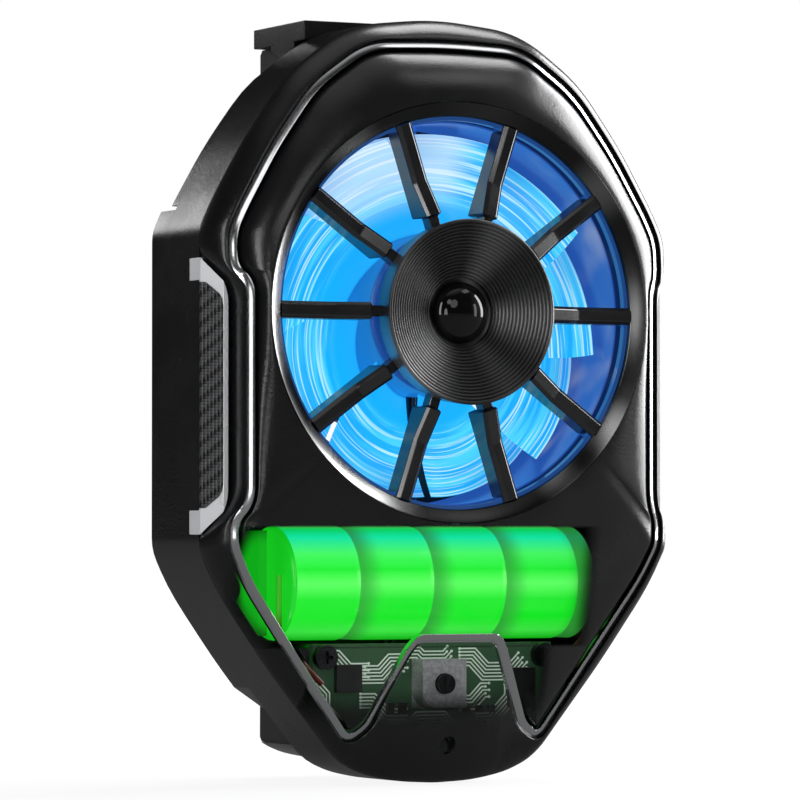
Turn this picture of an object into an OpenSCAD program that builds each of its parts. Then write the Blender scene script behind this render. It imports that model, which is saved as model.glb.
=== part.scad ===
// Clip-on phone cooling fan with a round cell inside, in millimetres.
// Every piece is drawn on the bench: x to the right, y up the long side, and z forwards from the
// phone towards the viewer, with z = 0 on the plane that the phone's back touches. stand_up() then
// turns the assembly upright, so that the front faces -Y and the long side runs along +Z.

/* [Casing] */
// Width of the casing
body_w = 63.5; // [58:0.5:69]
// Width of the front beside the fan ring
side_rim = 6.05; // [5.8:0.05:6.4]
// Height of the front above the fan ring
top_rim = 10.7; // [10.2:0.1:12]
// Height of the front below the cell
foot_h = 17.5; // [17.1:0.1:19]
// Thickness of the casing's walls
wall = 1.4; // [1.2:0.1:1.6]
// Height of the silicone pads that keep the casing off the phone
pad_h = 1.6; // [1.2:0.2:2.4]
// Thickness of the rear layer, which holds the clamp
rear_h = 4.3; // [4.3:0.1:5]
// Height of the front, from the middle shell's rim to the fan ring
front_h = 7.5; // [7.2:0.1:8.2]
// Thickness of the floor that carries the fan
floor_h = 1.2; // [1:0.1:1.4]
// Thickness of the front mouldings
skin = 1.3; // [1.1:0.1:1.5]

/* [Waist] */
// Length of the side between the shoulder and the notch
waist_above = 3; // [2.6:0.1:4]
// Length of the side between the notch and the hip
waist_below = 1.5; // [1.3:0.1:3]
// Height of the slants at the notch's ends
waist_slant = 5; // [4.4:0.2:5.4]
// Depth of the notch, measured in from the side
waist_in = 3; // [2.8:0.1:3.2]
// Width of the black channel between bezel and accent
channel_w = 0.45; // [0.3:0.05:0.6]
// Width of the plated accent's front strip
accent_w = 0.55; // [0.4:0.05:0.7]
// Height of the accent above the middle shell's rim
accent_h = 2.9; // [2.6:0.1:3.2]
// How far the accent's tabs reach back along the side wall
tab_back = 2.8; // [2:0.2:3.4]
// Thickness of the accent's tabs, let into the wall
tab_thick = 0.5; // [0.4:0.05:0.6]

/* [Trim] */
// Distance of the trim's middle from the casing's side
trim_in = 2.65; // [2.5:0.05:2.8]
// Distance of the trim's middle from the side at the waist
trim_waist_in = 4.15; // [4.1:0.05:4.3]
// Width of the plated trim
trim_w = 1.1; // [0.9:0.05:1.2]
// Gap between the trim and the front panel
trim_gap = 0.35; // [0.25:0.05:0.4]
// Half the width of the tongue's top, round which the trim runs
tongue_w = 5.3; // [5:0.1:5.6]
// Height of the tongue's top above the cell's lower edge
tongue_rise = 0.3; // [0.1:0.1:0.7]
// Distance of the trim's lowest corners from the middle
valley_x = 13.1; // [12.8:0.1:13.6]

/* [Fan opening] */
// Height of the fan's axis above the middle of the phone
fan_y = 11.8; // [11.4:0.1:12.2]
// Width of the fan ring
ring_w = 1.75; // [1.5:0.05:2]
// Depth of the ring's sloping face
ring_slope = 1.1; // [0.6:0.1:1.2]
// Number of spokes
spokes = 10; // [8:1:12]
// Width of a spoke
spoke_w = 2.1; // [1.6:0.1:2.6]
// Depth of a spoke
spoke_h = 3.2; // [2.4:0.1:3.4]
// Radius at which a spoke starts to rise towards the hub
spoke_bend_r = 16.5; // [15:0.5:18]
// Outer radius of the hub dish
hub_r = 11.3; // [10.8:0.1:12]
// Height of the hub's rim above the fan ring
hub_rise = 2.8; // [2:0.1:3.2]
// Depth of the dish from its rim to its recess
dish_drop = 3.1; // [2.6:0.1:3.4]
// Number of ridges on the dish
dish_ridges = 13; // [8:1:16]
// Radius of the recess in the dish
recess_r = 4.4; // [4.1:0.1:5]
// Radius of the hub jewel
jewel_r = 3.8; // [3:0.1:3.9]
// Height of the hub jewel
jewel_h = 2.6; // [2:0.1:3]

/* [Fan] */
// Gap between the blades and the fan frame
blade_gap = 0.9; // [0.6:0.1:1.5]
// Number of blades
blades = 9; // [7:1:11]
// Angle that a blade spans at the cup
blade_arc = 46; // [36:1:50]
// Height of a blade along the axis
blade_h = 6.6; // [5.6:0.1:6.8]
// Thickness of a blade
blade_t = 0.9; // [0.7:0.1:1.1]
// Radius of the rotor's cup
cup_r = 10; // [9.8:0.1:10.6]
// Wall of the rotor's cup
cup_wall = 1; // [0.8:0.1:1.1]
// Distance of the fan frame's bore from the ring's outer edge
shroud_in = 2.4; // [2.2:0.1:2.6]
// Wall of the fan frame
shroud_wall = 1.2; // [1:0.1:1.3]
// Radius of the shaft
shaft_r = 0.75; // [0.6:0.05:0.9]
// Outer radius of the bearing bush
bush_r = 2; // [1.8:0.1:2.2]
// Wall of the tube that holds the bush
bush_wall = 0.9; // [0.7:0.1:1]
// Running clearance of the shaft in its bush
shaft_fit = 0.05; // [0.02:0.01:0.08]
// Number of light emitters round the fan
lamps = 10; // [6:2:12]
// Distance of the exhaust opening's edge from the ring's outer edge
exhaust_in = 7.1; // [6.7:0.1:9]

/* [Button] */
// Width of the power button
button_w = 9.2; // [8.4:0.2:9.6]
// Height of the power button
button_l = 6.6; // [6.2:0.2:6.8]
// Distance of the button's middle below the tongue's top
button_drop = 5.1; // [4.8:0.1:5.5]
// Corner radius of the button
button_r = 2.8; // [2:0.2:3]
// Gap round the button
button_gap = 0.15; // [0.1:0.05:0.25]
// Travel of the button
button_travel = 0.35; // [0.25:0.05:0.45]
// Side of the switch's body
switch_w = 6; // [5.6:0.1:6.2]
// Height of the switch's body above the board
switch_h = 3; // [2.8:0.1:3.1]
// Radius of the switch's plunger
plunger_r = 1.2; // [1:0.1:1.7]
// Radius of the indicator hole
indicator_r = 1.1; // [0.9:0.1:1.3]
// Height of the indicator hole above the casing's bottom
indicator_rise = 4.7; // [4.4:0.1:5]

/* [Power] */
// Diameter of the round cell
cell_d = 14; // [13.4:0.1:14.2]
// Distance of the cell's ends from the casing's sides
cell_in = 11.25; // [9.8:0.05:12]
// Room behind the cell for its cradle and the leads
cell_back = 2.2; // [2:0.1:2.6]
// Distance of the fan ring's plane from the cell's front
cell_front = 4; // [3.8:0.1:4.6]
// Distance of the main board's corners from the casing's sides
board_in = 15.35; // [15.05:0.05:16.2]
// Height of the main board
board_l = 12.4; // [12:0.1:12.6]
// Thickness of the boards
board_t = 1.2; // [1:0.1:1.4]
// Width of the charging port
port_w = 8.9; // [8.6:0.1:9.2]
// Height of the charging port
port_h = 3.2; // [3:0.1:3.3]
// Depth of the charging port
port_l = 7.3; // [6.8:0.1:7.5]

/* [Clamp] */
// Height of the carriage, from the casing's top down to the rear cover
carriage_h = 23.6; // [23.2:0.1:24]
// Gap between the rear cover and the carriage
part_gap = 0.7; // [0.5:0.1:0.9]
// Height of the rear cover's lower edge above the casing's bottom
cover_rise = 9; // [8.6:0.1:9.4]
// How far the carriage stands in from the casing's side
carriage_in = 0.9; // [0.7:0.1:1.1]
// Travel of the carriage
clamp_travel = 16; // [10:0.5:17]
// Half the width of a jaw
jaw_half_w = 13; // [11:0.5:14]
// Thickness of a jaw
jaw_t = 2.4; // [2:0.1:2.8]
// How far a jaw reaches behind the phone plane
jaw_reach = 9; // [8:0.2:11]
// Thickness of a jaw's pad
jaw_pad_t = 6.5; // [4:0.5:7]
// Height of the pad's lip, which hooks over the phone
lip = 1.6; // [1:0.1:2]
// Radius of a guide rod
rod_r = 0.8; // [0.6:0.05:0.85]
// Distance of the guide rods from the casing's sides
rod_in = 9.35; // [8.75:0.05:9.55]
// Middle radius of a clamp spring
spring_r = 1.12; // [1.1:0.01:1.15]
// Radius of the spring's wire
wire_r = 0.16; // [0.14:0.01:0.18]
// Number of curls in a clamp spring
spring_turns = 16; // [12:1:20]

/* [Screws] */
// Radius of a screw's shank
screw_r = 0.8; // [0.7:0.05:0.9]
// Radius of a screw's head
head_r = 1.5; // [1.3:0.1:1.6]

/* [Hidden] */
$fn = 96;
touch = 0.01;
slip = 0.05;

// The fan sets the front's width, and the cell its height and its depth.
cover_plate = 1.2;
cell_under_ring = 0.2;
half_w = body_w / 2;
ring_r = half_w - side_rim;
shroud_r = ring_r - shroud_in;
blade_r = shroud_r - blade_gap;
exhaust_r = ring_r - exhaust_in;
cell_l = body_w - 2 * cell_in;
board_w = body_w - 2 * board_in;
rod_x = half_w - rod_in;
cover_z = pad_h;
cover_in_z = cover_z + cover_plate;
part_z = cover_z + rear_h;
floor_z = part_z + floor_h;
cell_z = cover_in_z + cell_back + cell_d / 2;
ring_z = cell_z + cell_d / 2 + cell_front;
rim_z = ring_z - front_h;
body_top = fan_y + ring_r + top_rim;
cell_y = fan_y - ring_r - cell_under_ring - cell_d / 2;
cell_low = cell_y - cell_d / 2;
bottom = cell_low - foot_h;
tongue_y = cell_low + tongue_rise;
button_y = tongue_y - button_drop;
indicator_y = bottom + indicator_rise;
part_y = body_top - carriage_h;
cover_bottom = bottom + cover_rise;
corner_steps = 4;
surface_rows = 5;
crown = 1.5;
colour_black = "#17181a";
colour_satin = "#3a3b3d";
colour_plated = "#d8dadd";
colour_steel = "#9a9da1";
colour_blue = "#1f9bff";
colour_green = "#18d82c";
colour_board = "#1e3b26";

// Corners of the casing's right half. Shoulder and hip are measured in from the side, and down
// from the top or up from the bottom; crest and sole are measured out from the middle.
shoulder_h = 26.4;
hip_h = 28.5;
waist_top = body_top - shoulder_h - waist_above - waist_slant;
waist_bottom = bottom + hip_h + waist_below + waist_slant;
crest = [jaw_half_w - 1.5, body_top - 1.2];
shoulder = [[12.05, 7], [6.25, 14.9], [1.75, 22.7], [0, shoulder_h]];
hip = [[0, hip_h], [2.35, 23.5], [8.75, 14.5]];
sole = [[13.4, 2.8], [9.85, 1.2], [6.5, 0.5], [4.15, 0.2]];
shoulder_points = concat([crest], [for (s = shoulder) [half_w - s[0], body_top - s[1]]]);
foot_points = concat([for (h = hip) [half_w - h[0], bottom + h[1]]],
    [for (s = sole) [s[0], bottom + s[1]]]);
full_half = concat([[0, body_top]], shoulder_points, foot_points, [[0, bottom]]);
full_cuts = [4, 4, 3.5, 3.5, 1.8, 1.2, 1.5, 3.5, 3.5, 2.2, 1.5, 1.2, 1, 1];
notch_half = concat([[0, body_top]], shoulder_points, [[half_w, waist_top + waist_slant],
    [half_w - waist_in, waist_top], [half_w - waist_in, waist_bottom],
    [half_w, waist_bottom - waist_slant]], foot_points, [[0, bottom]]);
notch_cuts = [4, 4, 3.5, 3.5, 1.8, 1.2, 0.8, 2, 2, 0.6, 0.5, 3.5, 3.5, 2.2, 1.5, 1.2, 1, 1];

// How far behind the fan ring the trim lies, at its top, shoulder, waist, valley and tongue.
drop_top = 4.2;
drop_shoulder = 3.6;
drop_waist = 1.7;
drop_hip = 3.1;
drop_foot = 4.4;
drop_valley = 5;
drop_tongue = 0.8;

function unit(v) = v / norm(v);
function flat(p) = [p[0], p[1]];
function inward(a, b) = let (d = unit(flat(b) - flat(a))) [d[1], -d[0]];
function mitre(a, b, c, d) =
    let (n = inward(a, b), m = unit(n + inward(b, c))) flat(b) + m * d / (m * n);
function around(list, i) = list[(i + len(list)) % len(list)];
// A half path from top middle to bottom middle, closed by its mirror image.
function whole(half) =
    concat(half, [for (i = [len(half) - 2 : -1 : 1]) [for (k = [0 : len(half[i]) - 1])
        k == 0 ? -half[i][0] : half[i][k]]]);
// A corner as a curve that leaves its two sides at the distance cut.
function bend(a, b, c, cut) =
    let (p = b + unit(a - b) * min(cut, norm(a - b) * 0.45),
        q = b + unit(c - b) * min(cut, norm(c - b) * 0.45))
    [for (k = [0 : corner_steps - 1]) let (s = k / (corner_steps - 1))
        (1 - s) * (1 - s) * p + 2 * s * (1 - s) * b + s * s * q];
// Corners rounded, with steps[i] more points along the straight that follows corner i.
function rounded(points, cuts, steps) =
    let (corners = [for (i = [0 : len(points) - 1])
        bend(around(points, i - 1), points[i], around(points, i + 1), cuts[i])])
    [for (i = [0 : len(points) - 1])
        let (from = corners[i][corner_steps - 1], to = around(corners, i + 1)[0])
        each concat(corners[i],
            [for (k = [1 : 1 : steps[i]]) from + (to - from) * k / (steps[i] + 1)])];
function full_cut_list(cuts) =
    concat(cuts, [for (i = [len(cuts) - 2 : -1 : 1]) cuts[i]]);
function full_step_list(steps) =
    concat(steps, [for (i = [len(steps) - 1 : -1 : 0]) steps[i]]);
// The loop moved sideways in its plane, inwards where d is positive.
function shifted(loop, d) =
    [for (i = [0 : len(loop) - 1])
        let (n = inward(around(loop, i - 1), around(loop, i + 1)))
        [loop[i][0] + n[0] * d, loop[i][1] + n[1] * d, loop[i][2]]];
function raised(loop, h) = [for (p = loop) [p[0], p[1], p[2] + h]];
function at_height(loop, h) = [for (p = loop) [p[0], p[1], h]];
function plan(loop) = [for (p = loop) [p[0], p[1]]];
// Rise of a rounded edge: steep at its start, level at its end.
function swell(u) = pow(1 - pow(1 - u, crown), 1 / crown);
// The loop that lies a share u of the way from a to b, on the crowned surface between them.
function between(a, b, u) =
    [for (i = [0 : len(a) - 1]) [a[i][0] + (b[i][0] - a[i][0]) * u,
        a[i][1] + (b[i][1] - a[i][1]) * u, a[i][2] + (b[i][2] - a[i][2]) * swell(u)]];

straight_steps = [1, 0, 1, 1, 0, 0, 0, 8, 0, 0, 1, 1, 2, 0, 1, 0, 0];
no_steps = [for (i = [1 : len(full_half) - 1]) 0];
full_loop = rounded(whole(full_half), full_cut_list(full_cuts), full_step_list(no_steps));
notch_loop = at_height(rounded(whole(notch_half), full_cut_list(notch_cuts),
    full_step_list(straight_steps)), rim_z);
trim_side = [for (i = [1 : 5]) mitre(full_half[i - 1], full_half[i], full_half[i + 1], trim_in)];
trim_foot = [for (i = [6 : 8]) mitre(full_half[i - 1], full_half[i], full_half[i + 1], trim_in)];
trim_plan = concat([[0, body_top - trim_in - 0.7]], trim_side,
    [[half_w - trim_in + 0.1, waist_top + 3.1], [half_w - trim_waist_in, waist_top + 1.1],
    [half_w - trim_waist_in, waist_bottom - 0.6], [half_w - trim_in + 0.1, waist_bottom - 3.1]],
    trim_foot,
    [[valley_x, bottom + 5.3], [valley_x - 2.5, bottom + 7.1], [tongue_w + 1, tongue_y - 1.3],
    [tongue_w, tongue_y], [0, tongue_y]]);
trim_drops = [drop_top, drop_top, drop_top, drop_shoulder + 0.3, drop_shoulder, drop_shoulder,
    drop_shoulder - 0.2, drop_waist, drop_waist, drop_hip, drop_hip, drop_hip + 0.6, drop_foot,
    drop_valley, drop_foot, drop_tongue + 0.5, drop_tongue, drop_tongue];
trim_cuts = [4, 3, 3, 3, 1.6, 1.6, 2, 2, 2, 2, 0.9, 3, 3, 1.6, 1.1, 0.7, 0.7, 1];
trim_half = [for (i = [0 : len(trim_plan) - 1])
    [trim_plan[i][0], trim_plan[i][1], ring_z - trim_drops[i]]];
trim_loop = rounded(whole(trim_half), full_cut_list(trim_cuts), full_step_list(straight_steps));
bezel_lip = shifted(trim_loop, -trim_w / 2 - slip);
panel_edge = shifted(trim_loop, trim_w / 2 + trim_gap);
ring_seat_r = ring_r + 2 * slip;
ring_loop = [for (p = panel_edge) let (d = unit(flat(p) - [0, fan_y]))
    [d[0] * ring_seat_r, fan_y + d[1] * ring_seat_r, ring_z]];
share_in = [for (i = [0 : len(notch_loop) - 1])
    min(wall / norm(flat(bezel_lip[i]) - flat(notch_loop[i])), 0.6)];

// Closed loops of equal length, joined one to the next and the last to the first: a hollow ring.
module ring_of(loops) {
    n = len(loops[0]);
    rows = len(loops);
    faces = [for (r = [0 : rows - 1], i = [0 : n - 1])
        let (a = r * n + i, b = r * n + (i + 1) % n, c = ((r + 1) % rows) * n + (i + 1) % n,
            d = ((r + 1) % rows) * n + i)
        each [[a, b, c], [a, c, d]]];
    polyhedron([for (loop = loops) each loop], faces, convexity = 10);
}

module stand_up() {
    rotate([90, 0, 0]) children();
}

module both_sides() {
    children();
    mirror([1, 0, 0]) children();
}

module slab(loop, z0, z1) {
    translate([0, 0, z0]) linear_extrude(z1 - z0) polygon(plan(loop));
}

module disc(r, z0, z1) {
    translate([0, 0, z0]) cylinder(r = r, h = z1 - z0);
}

module tube(r_out, r_in, z0, z1) {
    difference() {
        disc(r_out, z0, z1);
        disc(r_in, z0 - 1, z1 + 1);
    }
}

module block(x0, x1, y0, y1, z0, z1) {
    translate([x0, y0, z0]) cube([x1 - x0, y1 - y0, z1 - z0]);
}

// A plate with round corners, made of two bars and four posts.
module round_plate(w, l, r, z0, z1) {
    block(-w / 2 + r, w / 2 - r, -l / 2, l / 2, z0, z1);
    block(-w / 2, w / 2, -l / 2 + r, l / 2 - r, z0, z1);
    for (x = [-w / 2 + r, w / 2 - r], y = [-l / 2 + r, l / 2 - r])
        translate([x, y, 0]) disc(r, z0, z1);
}

module at_fan() {
    translate([0, fan_y, 0]) children();
}

// Front mouldings. Their posts take the screws that come from behind.

post_r = 1.5;
panel_post_tops = [ring_z - 2.4, ring_z - 1.9];
bezel_post_top = rim_z + 1.8;

function bezel_point(i, u) =
    let (a = notch_loop[i], b = bezel_lip[i])
    [a[0] + (b[0] - a[0]) * u, a[1] + (b[1] - a[1]) * u, a[2] + (b[2] - a[2]) * swell(u)];
function bezel_under(k) =
    [for (i = [0 : len(notch_loop) - 1]) let (u = 1 + (share_in[i] - 1) * k) bezel_point(i, u)];

module front_bezel() {
    count = len(notch_loop);
    outside = [for (k = [0 : surface_rows]) between(notch_loop, bezel_lip, pow(k / surface_rows, 1.6))];
    inside = [for (k = [0, 0.35, 0.7, 1]) raised(bezel_under(k), -skin)];
    foot_loop = at_height(bezel_under(1), rim_z);
    color(colour_black) stand_up() difference() {
        union() {
            ring_of(concat(outside, inside, [foot_loop]));
            both_sides() translate([jaw_screw_place[0], jaw_screw_place[1], 0])
                disc(post_r, rim_z, bezel_post_top);
        }
        both_sides() translate([jaw_screw_place[0], jaw_screw_place[1], 0])
            disc(screw_r, rim_z - 1, rim_z + 1.4);
        translate([0, button_y, 0])
            round_plate(button_w + 2 * button_gap, button_l + 2 * button_gap,
                button_r + button_gap, rim_z, ring_z + 1);
        translate([0, indicator_y, 0]) disc(indicator_r, rim_z - 1, ring_z);
    }
}

module front_panel() {
    shares = [0, 0.06, 0.2, 0.45, 0.75, 1];
    outside = [for (u = shares) between(panel_edge, ring_loop, u)];
    inside = [for (k = [len(shares) - 1 : -1 : 0])
        raised(between(panel_edge, ring_loop, shares[k]), -skin)];
    color(colour_black) stand_up() difference() {
        union() {
            ring_of(concat(outside, inside));
            both_sides() for (k = [0, 1])
                translate([front_screw_places[k][0], front_screw_places[k][1], 0])
                    disc(post_r, rim_z, panel_post_tops[k]);
        }
        both_sides() for (p = front_screw_places) translate([p[0], p[1], 0])
            disc(screw_r, rim_z - 1, rim_z + 4.2);
    }
}

module trim_strip() {
    half = trim_w / 2;
    foot_drop = 1;
    color(colour_plated) stand_up() ring_of([
        raised(shifted(trim_loop, -half), -foot_drop),
        raised(shifted(trim_loop, -half), -0.25),
        raised(shifted(trim_loop, -half * 0.1), 0.3),
        raised(shifted(trim_loop, half), 0.3),
        raised(shifted(trim_loop, half), -foot_drop)]);
}

// Waist: grip pads and plated accents

waist_floor_z = rim_z;
pad_front_x = half_w - waist_in + channel_w + accent_w + 0.1;
pad_rear_top = waist_top + 1.5;
pad_rear_bottom = waist_bottom - 1.6;
accent_front_x = half_w - waist_in + channel_w;

// Side profile of pad and accent together: level at the front strip, then a slope to the wall.
module waist_block(y0, y1) {
    slope_start = pad_front_x;
    translate([0, y1, 0]) rotate([90, 0, 0]) linear_extrude(y1 - y0)
        polygon([[accent_front_x, waist_floor_z], [half_w, waist_floor_z],
            [half_w, waist_floor_z + 0.3], [slope_start, waist_floor_z + accent_h],
            [accent_front_x, waist_floor_z + accent_h]]);
}

pad_plan = [[half_w + 1, pad_rear_top], [half_w - 0.5, pad_rear_top - 0.2],
    [pad_front_x + 0.3, pad_rear_top - 1.6], [pad_front_x + 0.08, pad_rear_top - 2.2],
    [pad_front_x, pad_rear_top - 3], [pad_front_x, pad_rear_bottom + 3],
    [pad_front_x + 0.08, pad_rear_bottom + 2.2], [pad_front_x + 0.3, pad_rear_bottom + 1.6],
    [half_w - 0.5, pad_rear_bottom + 0.2], [half_w + 1, pad_rear_bottom]];
accent_plan = [[half_w + 1, waist_top + 4.6], [half_w, waist_top + 4.3],
    [accent_front_x + 0.65, waist_top + 1.4], [accent_front_x + 0.3, waist_top + 0.6],
    [accent_front_x + 0.08, waist_top - 0.2], [accent_front_x, waist_top - 1.2],
    [accent_front_x, waist_bottom + 0.7], [accent_front_x + 0.08, waist_bottom - 0.3],
    [accent_front_x + 0.3, waist_bottom - 1.1], [accent_front_x + 0.65, waist_bottom - 1.9],
    [half_w, waist_bottom - 4.6], [half_w + 1, waist_bottom - 4.9]];

module grip_pad() {
    color("#232426") intersection() {
        waist_block(pad_rear_bottom - 4, pad_rear_top + 4);
        translate([0, 0, waist_floor_z - 1]) linear_extrude(accent_h + 2)
            polygon(pad_plan);
    }
}

module accent_tab(y0, y1) {
    block(half_w - tab_thick, half_w, y0, y1, waist_floor_z - tab_back, waist_floor_z);
}

module accent() {
    color(colour_plated) union() {
        difference() {
            intersection() {
                waist_block(pad_rear_bottom - 4, pad_rear_top + 4);
                translate([0, 0, waist_floor_z - 1]) linear_extrude(accent_h + 2)
                    polygon(accent_plan);
            }
            translate([0, 0, waist_floor_z - 2]) linear_extrude(accent_h + 4)
                polygon(pad_plan);
        }
        accent_tab(pad_rear_top + 0.1, waist_top + 4.3);
        accent_tab(waist_bottom - 4.6, pad_rear_bottom - 0.1);
    }
}

module right_grip_pad() {
    stand_up() grip_pad();
}

module left_grip_pad() {
    stand_up() mirror([1, 0, 0]) grip_pad();
}

module right_accent() {
    stand_up() accent();
}

module left_accent() {
    stand_up() mirror([1, 0, 0]) accent();
}

// Fan opening: ring, grille, hub

ring_in_r = ring_r - ring_w;
ring_h = max(skin, ring_slope + 0.2) + 0.1;
hoop_z = ring_z - ring_h - slip;
hoop_h = 1;
spoke_top = ring_z - 0.8;
spoke_low = spoke_top - spoke_h;
hub_plate_z = ring_z - 1.4;
hub_plate_low = hub_plate_z - 0.8;
hub_seat_r = hub_r - 1;
rim_top = ring_z + hub_rise;
dish_floor = rim_top - dish_drop;

module fan_ring() {
    color(colour_satin) stand_up() at_fan() rotate_extrude()
        polygon([[ring_r, ring_z], [ring_in_r, ring_z - ring_slope], [ring_in_r, ring_z - ring_h],
            [ring_r, ring_z - ring_h]]);
}

// One spoke as a side profile: level outside, rising inside the bend, necked at the hub.
module spoke() {
    neck_r = hub_r + 1.2;
    out_r = ring_in_r - slip;
    rise = 1.1;
    over_frame = max(spoke_low, frame_top) + slip;
    side = [[hub_seat_r - 0.5, hub_plate_low], [neck_r - 0.4, hub_plate_low],
        [neck_r - 0.2, spoke_low], [shroud_r - 0.1, spoke_low],
        [shroud_r - 0.1, over_frame], [out_r, over_frame], [out_r, spoke_top],
        [spoke_bend_r, spoke_top], [neck_r, spoke_top + rise], [neck_r - 0.3, spoke_top + 0.5],
        [hub_r + slip, spoke_top + 0.5], [hub_r + slip, hub_plate_z],
        [hub_seat_r - 0.5, hub_plate_z]];
    bevel = 0.4;
    intersection() {
        translate([0, spoke_w / 2, 0]) rotate([90, 0, 0]) linear_extrude(spoke_w) polygon(side);
        union() {
            translate([neck_r - 0.2, 0, 0]) rotate([90, 0, 90]) linear_extrude(ring_r)
                polygon([[-spoke_w / 2, spoke_low - 1], [spoke_w / 2, spoke_low - 1],
                    [spoke_w / 2, spoke_top - bevel], [spoke_w / 2 - bevel, spoke_top + rise + 1],
                    [-spoke_w / 2 + bevel, spoke_top + rise + 1], [-spoke_w / 2, spoke_top - bevel]]);
            block(0, neck_r, -spoke_w * 0.32, spoke_w * 0.32, spoke_low - 1, ring_z + hub_rise);
        }
    }
}

module grille() {
    hoop_r = ring_r - 0.1;
    hoop_in_r = shroud_r + 0.2;
    foot_half = 1.5;
    color(colour_black) stand_up() at_fan() {
        tube(hoop_r, hoop_in_r, hoop_z - hoop_h, hoop_z);
        for (k = [0 : spokes - 1]) rotate(k * 360 / spokes)
            block(hoop_in_r + 0.1, shroud_r + shroud_wall, -foot_half, foot_half, frame_top,
                hoop_z - hoop_h / 2);
        disc(hub_seat_r, hub_plate_low, hub_plate_z);
        for (k = [0 : spokes - 1]) rotate(k * 360 / spokes) spoke();
    }
}

// The ridges are a saw-tooth profile between the rim and the recess, turned about the axis.
module hub_dish() {
    lip_w = 0.35;
    slope_r = hub_r - lip_w;
    step_r = (slope_r - recess_r) / dish_ridges;
    step_z = dish_drop / dish_ridges;
    ridge = 0.22;
    teeth = [for (k = [0 : dish_ridges - 1]) each [
        [slope_r - k * step_r, rim_top - k * step_z - (k == 0 ? 0 : ridge)],
        [slope_r - (k + 0.75) * step_r, rim_top - (k + 1) * step_z]]];
    recess_drop = 0.8;
    color(colour_satin) stand_up() at_fan() rotate_extrude()
        polygon(concat([[0, hub_plate_z], [hub_seat_r, hub_plate_z], [hub_r - 0.3, hub_plate_z + 0.7],
            [hub_r, rim_top - 0.4], [hub_r, rim_top]], teeth,
            [[recess_r, dish_floor], [recess_r, dish_floor - recess_drop],
            [0, dish_floor - recess_drop]]));
}

module hub_jewel() {
    base_z = dish_floor - 0.8;
    ball_r = (jewel_r * jewel_r + jewel_h * jewel_h) / (2 * jewel_h);
    color("#050506") stand_up() at_fan() intersection() {
        translate([0, 0, base_z + jewel_h - ball_r]) sphere(r = ball_r);
        disc(jewel_r + 1, base_z, base_z + jewel_h + 1);
    }
}

// Button, switch and indicator

board_drop = 7.7;
board_front_z = ring_z - board_drop;
switch_y = button_y - 0.5;
switch_top = board_front_z + switch_h;
plunger_top = switch_top + 0.6;
button_sink = 1.37;
button_mid_z = ring_z - button_sink;
button_flange_z = button_mid_z - skin - 0.41;
button_tilt = 12;

// The cap lies in the front's slope, a flange under the bezel keeps it in, a stem meets the switch.
module power_button() {
    flange = 0.45;
    flange_t = 0.5;
    color(colour_black) stand_up() union() {
        button_slice(0, button_mid_z - button_flange_z + flange_t);
        button_slice(flange, flange_t);
        translate([0, switch_y, 0]) disc(plunger_r + 0.4, plunger_top, button_flange_z);
    }
}

// The button's outline made wider by more, cut by two sloping planes that lie h apart.
module button_slice(more, h) {
    translate([0, button_y, 0]) intersection() {
        round_plate(button_w + 2 * more, button_l + 2 * more, button_r + more, plunger_top - 2,
            ring_z + 1);
        translate([0, 0, button_flange_z - 0.5]) rotate([button_tilt, 0, 0])
            block(-button_w, button_w, -button_w, button_w, 0, h);
    }
}

module switch_body() {
    color(colour_steel) stand_up() translate([0, switch_y, 0]) difference() {
        block(-switch_w / 2, switch_w / 2, -switch_w / 2, switch_w / 2, board_front_z, switch_top);
        disc(plunger_r + 0.1, board_front_z + 1.4, switch_top + 1);
    }
}

module switch_plunger() {
    color("#101113") stand_up() translate([0, switch_y, 0])
        disc(plunger_r, board_front_z + 1.4 + button_travel + 0.1, plunger_top);
}

module indicator_lens() {
    lens_top = rim_z + 2.4;
    color("#20262b") stand_up() translate([0, indicator_y, 0])
        disc(indicator_r - slip, board_front_z + 0.7, lens_top);
}

module indicator_emitter() {
    color("#e8eef2") stand_up()
        block(-0.8, 0.8, indicator_y - 0.4, indicator_y + 0.4, board_front_z, board_front_z + 0.65);
}

// Middle shell and rear cover

front_screw_places = [[8.5, body_top - 7.9], [half_w - 7.75, waist_bottom + 1.4]];
jaw_screw_place = [port_w / 2 + 3.95, bottom + 5];
cover_screw_places = [[half_w - 4.35, body_top - 28.6], [half_w - 5.55, bottom + 23.8]];
boss_r = 2.1;
floor_edge = cell_y + cell_d / 2 + 1.3;
inner_loop = shifted(full_loop, wall);
port_z = board_front_z - board_t - port_h / 2;
exhaust_top = part_y - 2.2 - fan_y;

// The exhaust's outline: a circle cut off level below the parting line.
module exhaust(r, z0, z1) {
    at_fan() intersection() {
        disc(r, z0, z1);
        block(-r, r, -r, exhaust_top, z0, z1);
    }
}

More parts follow.
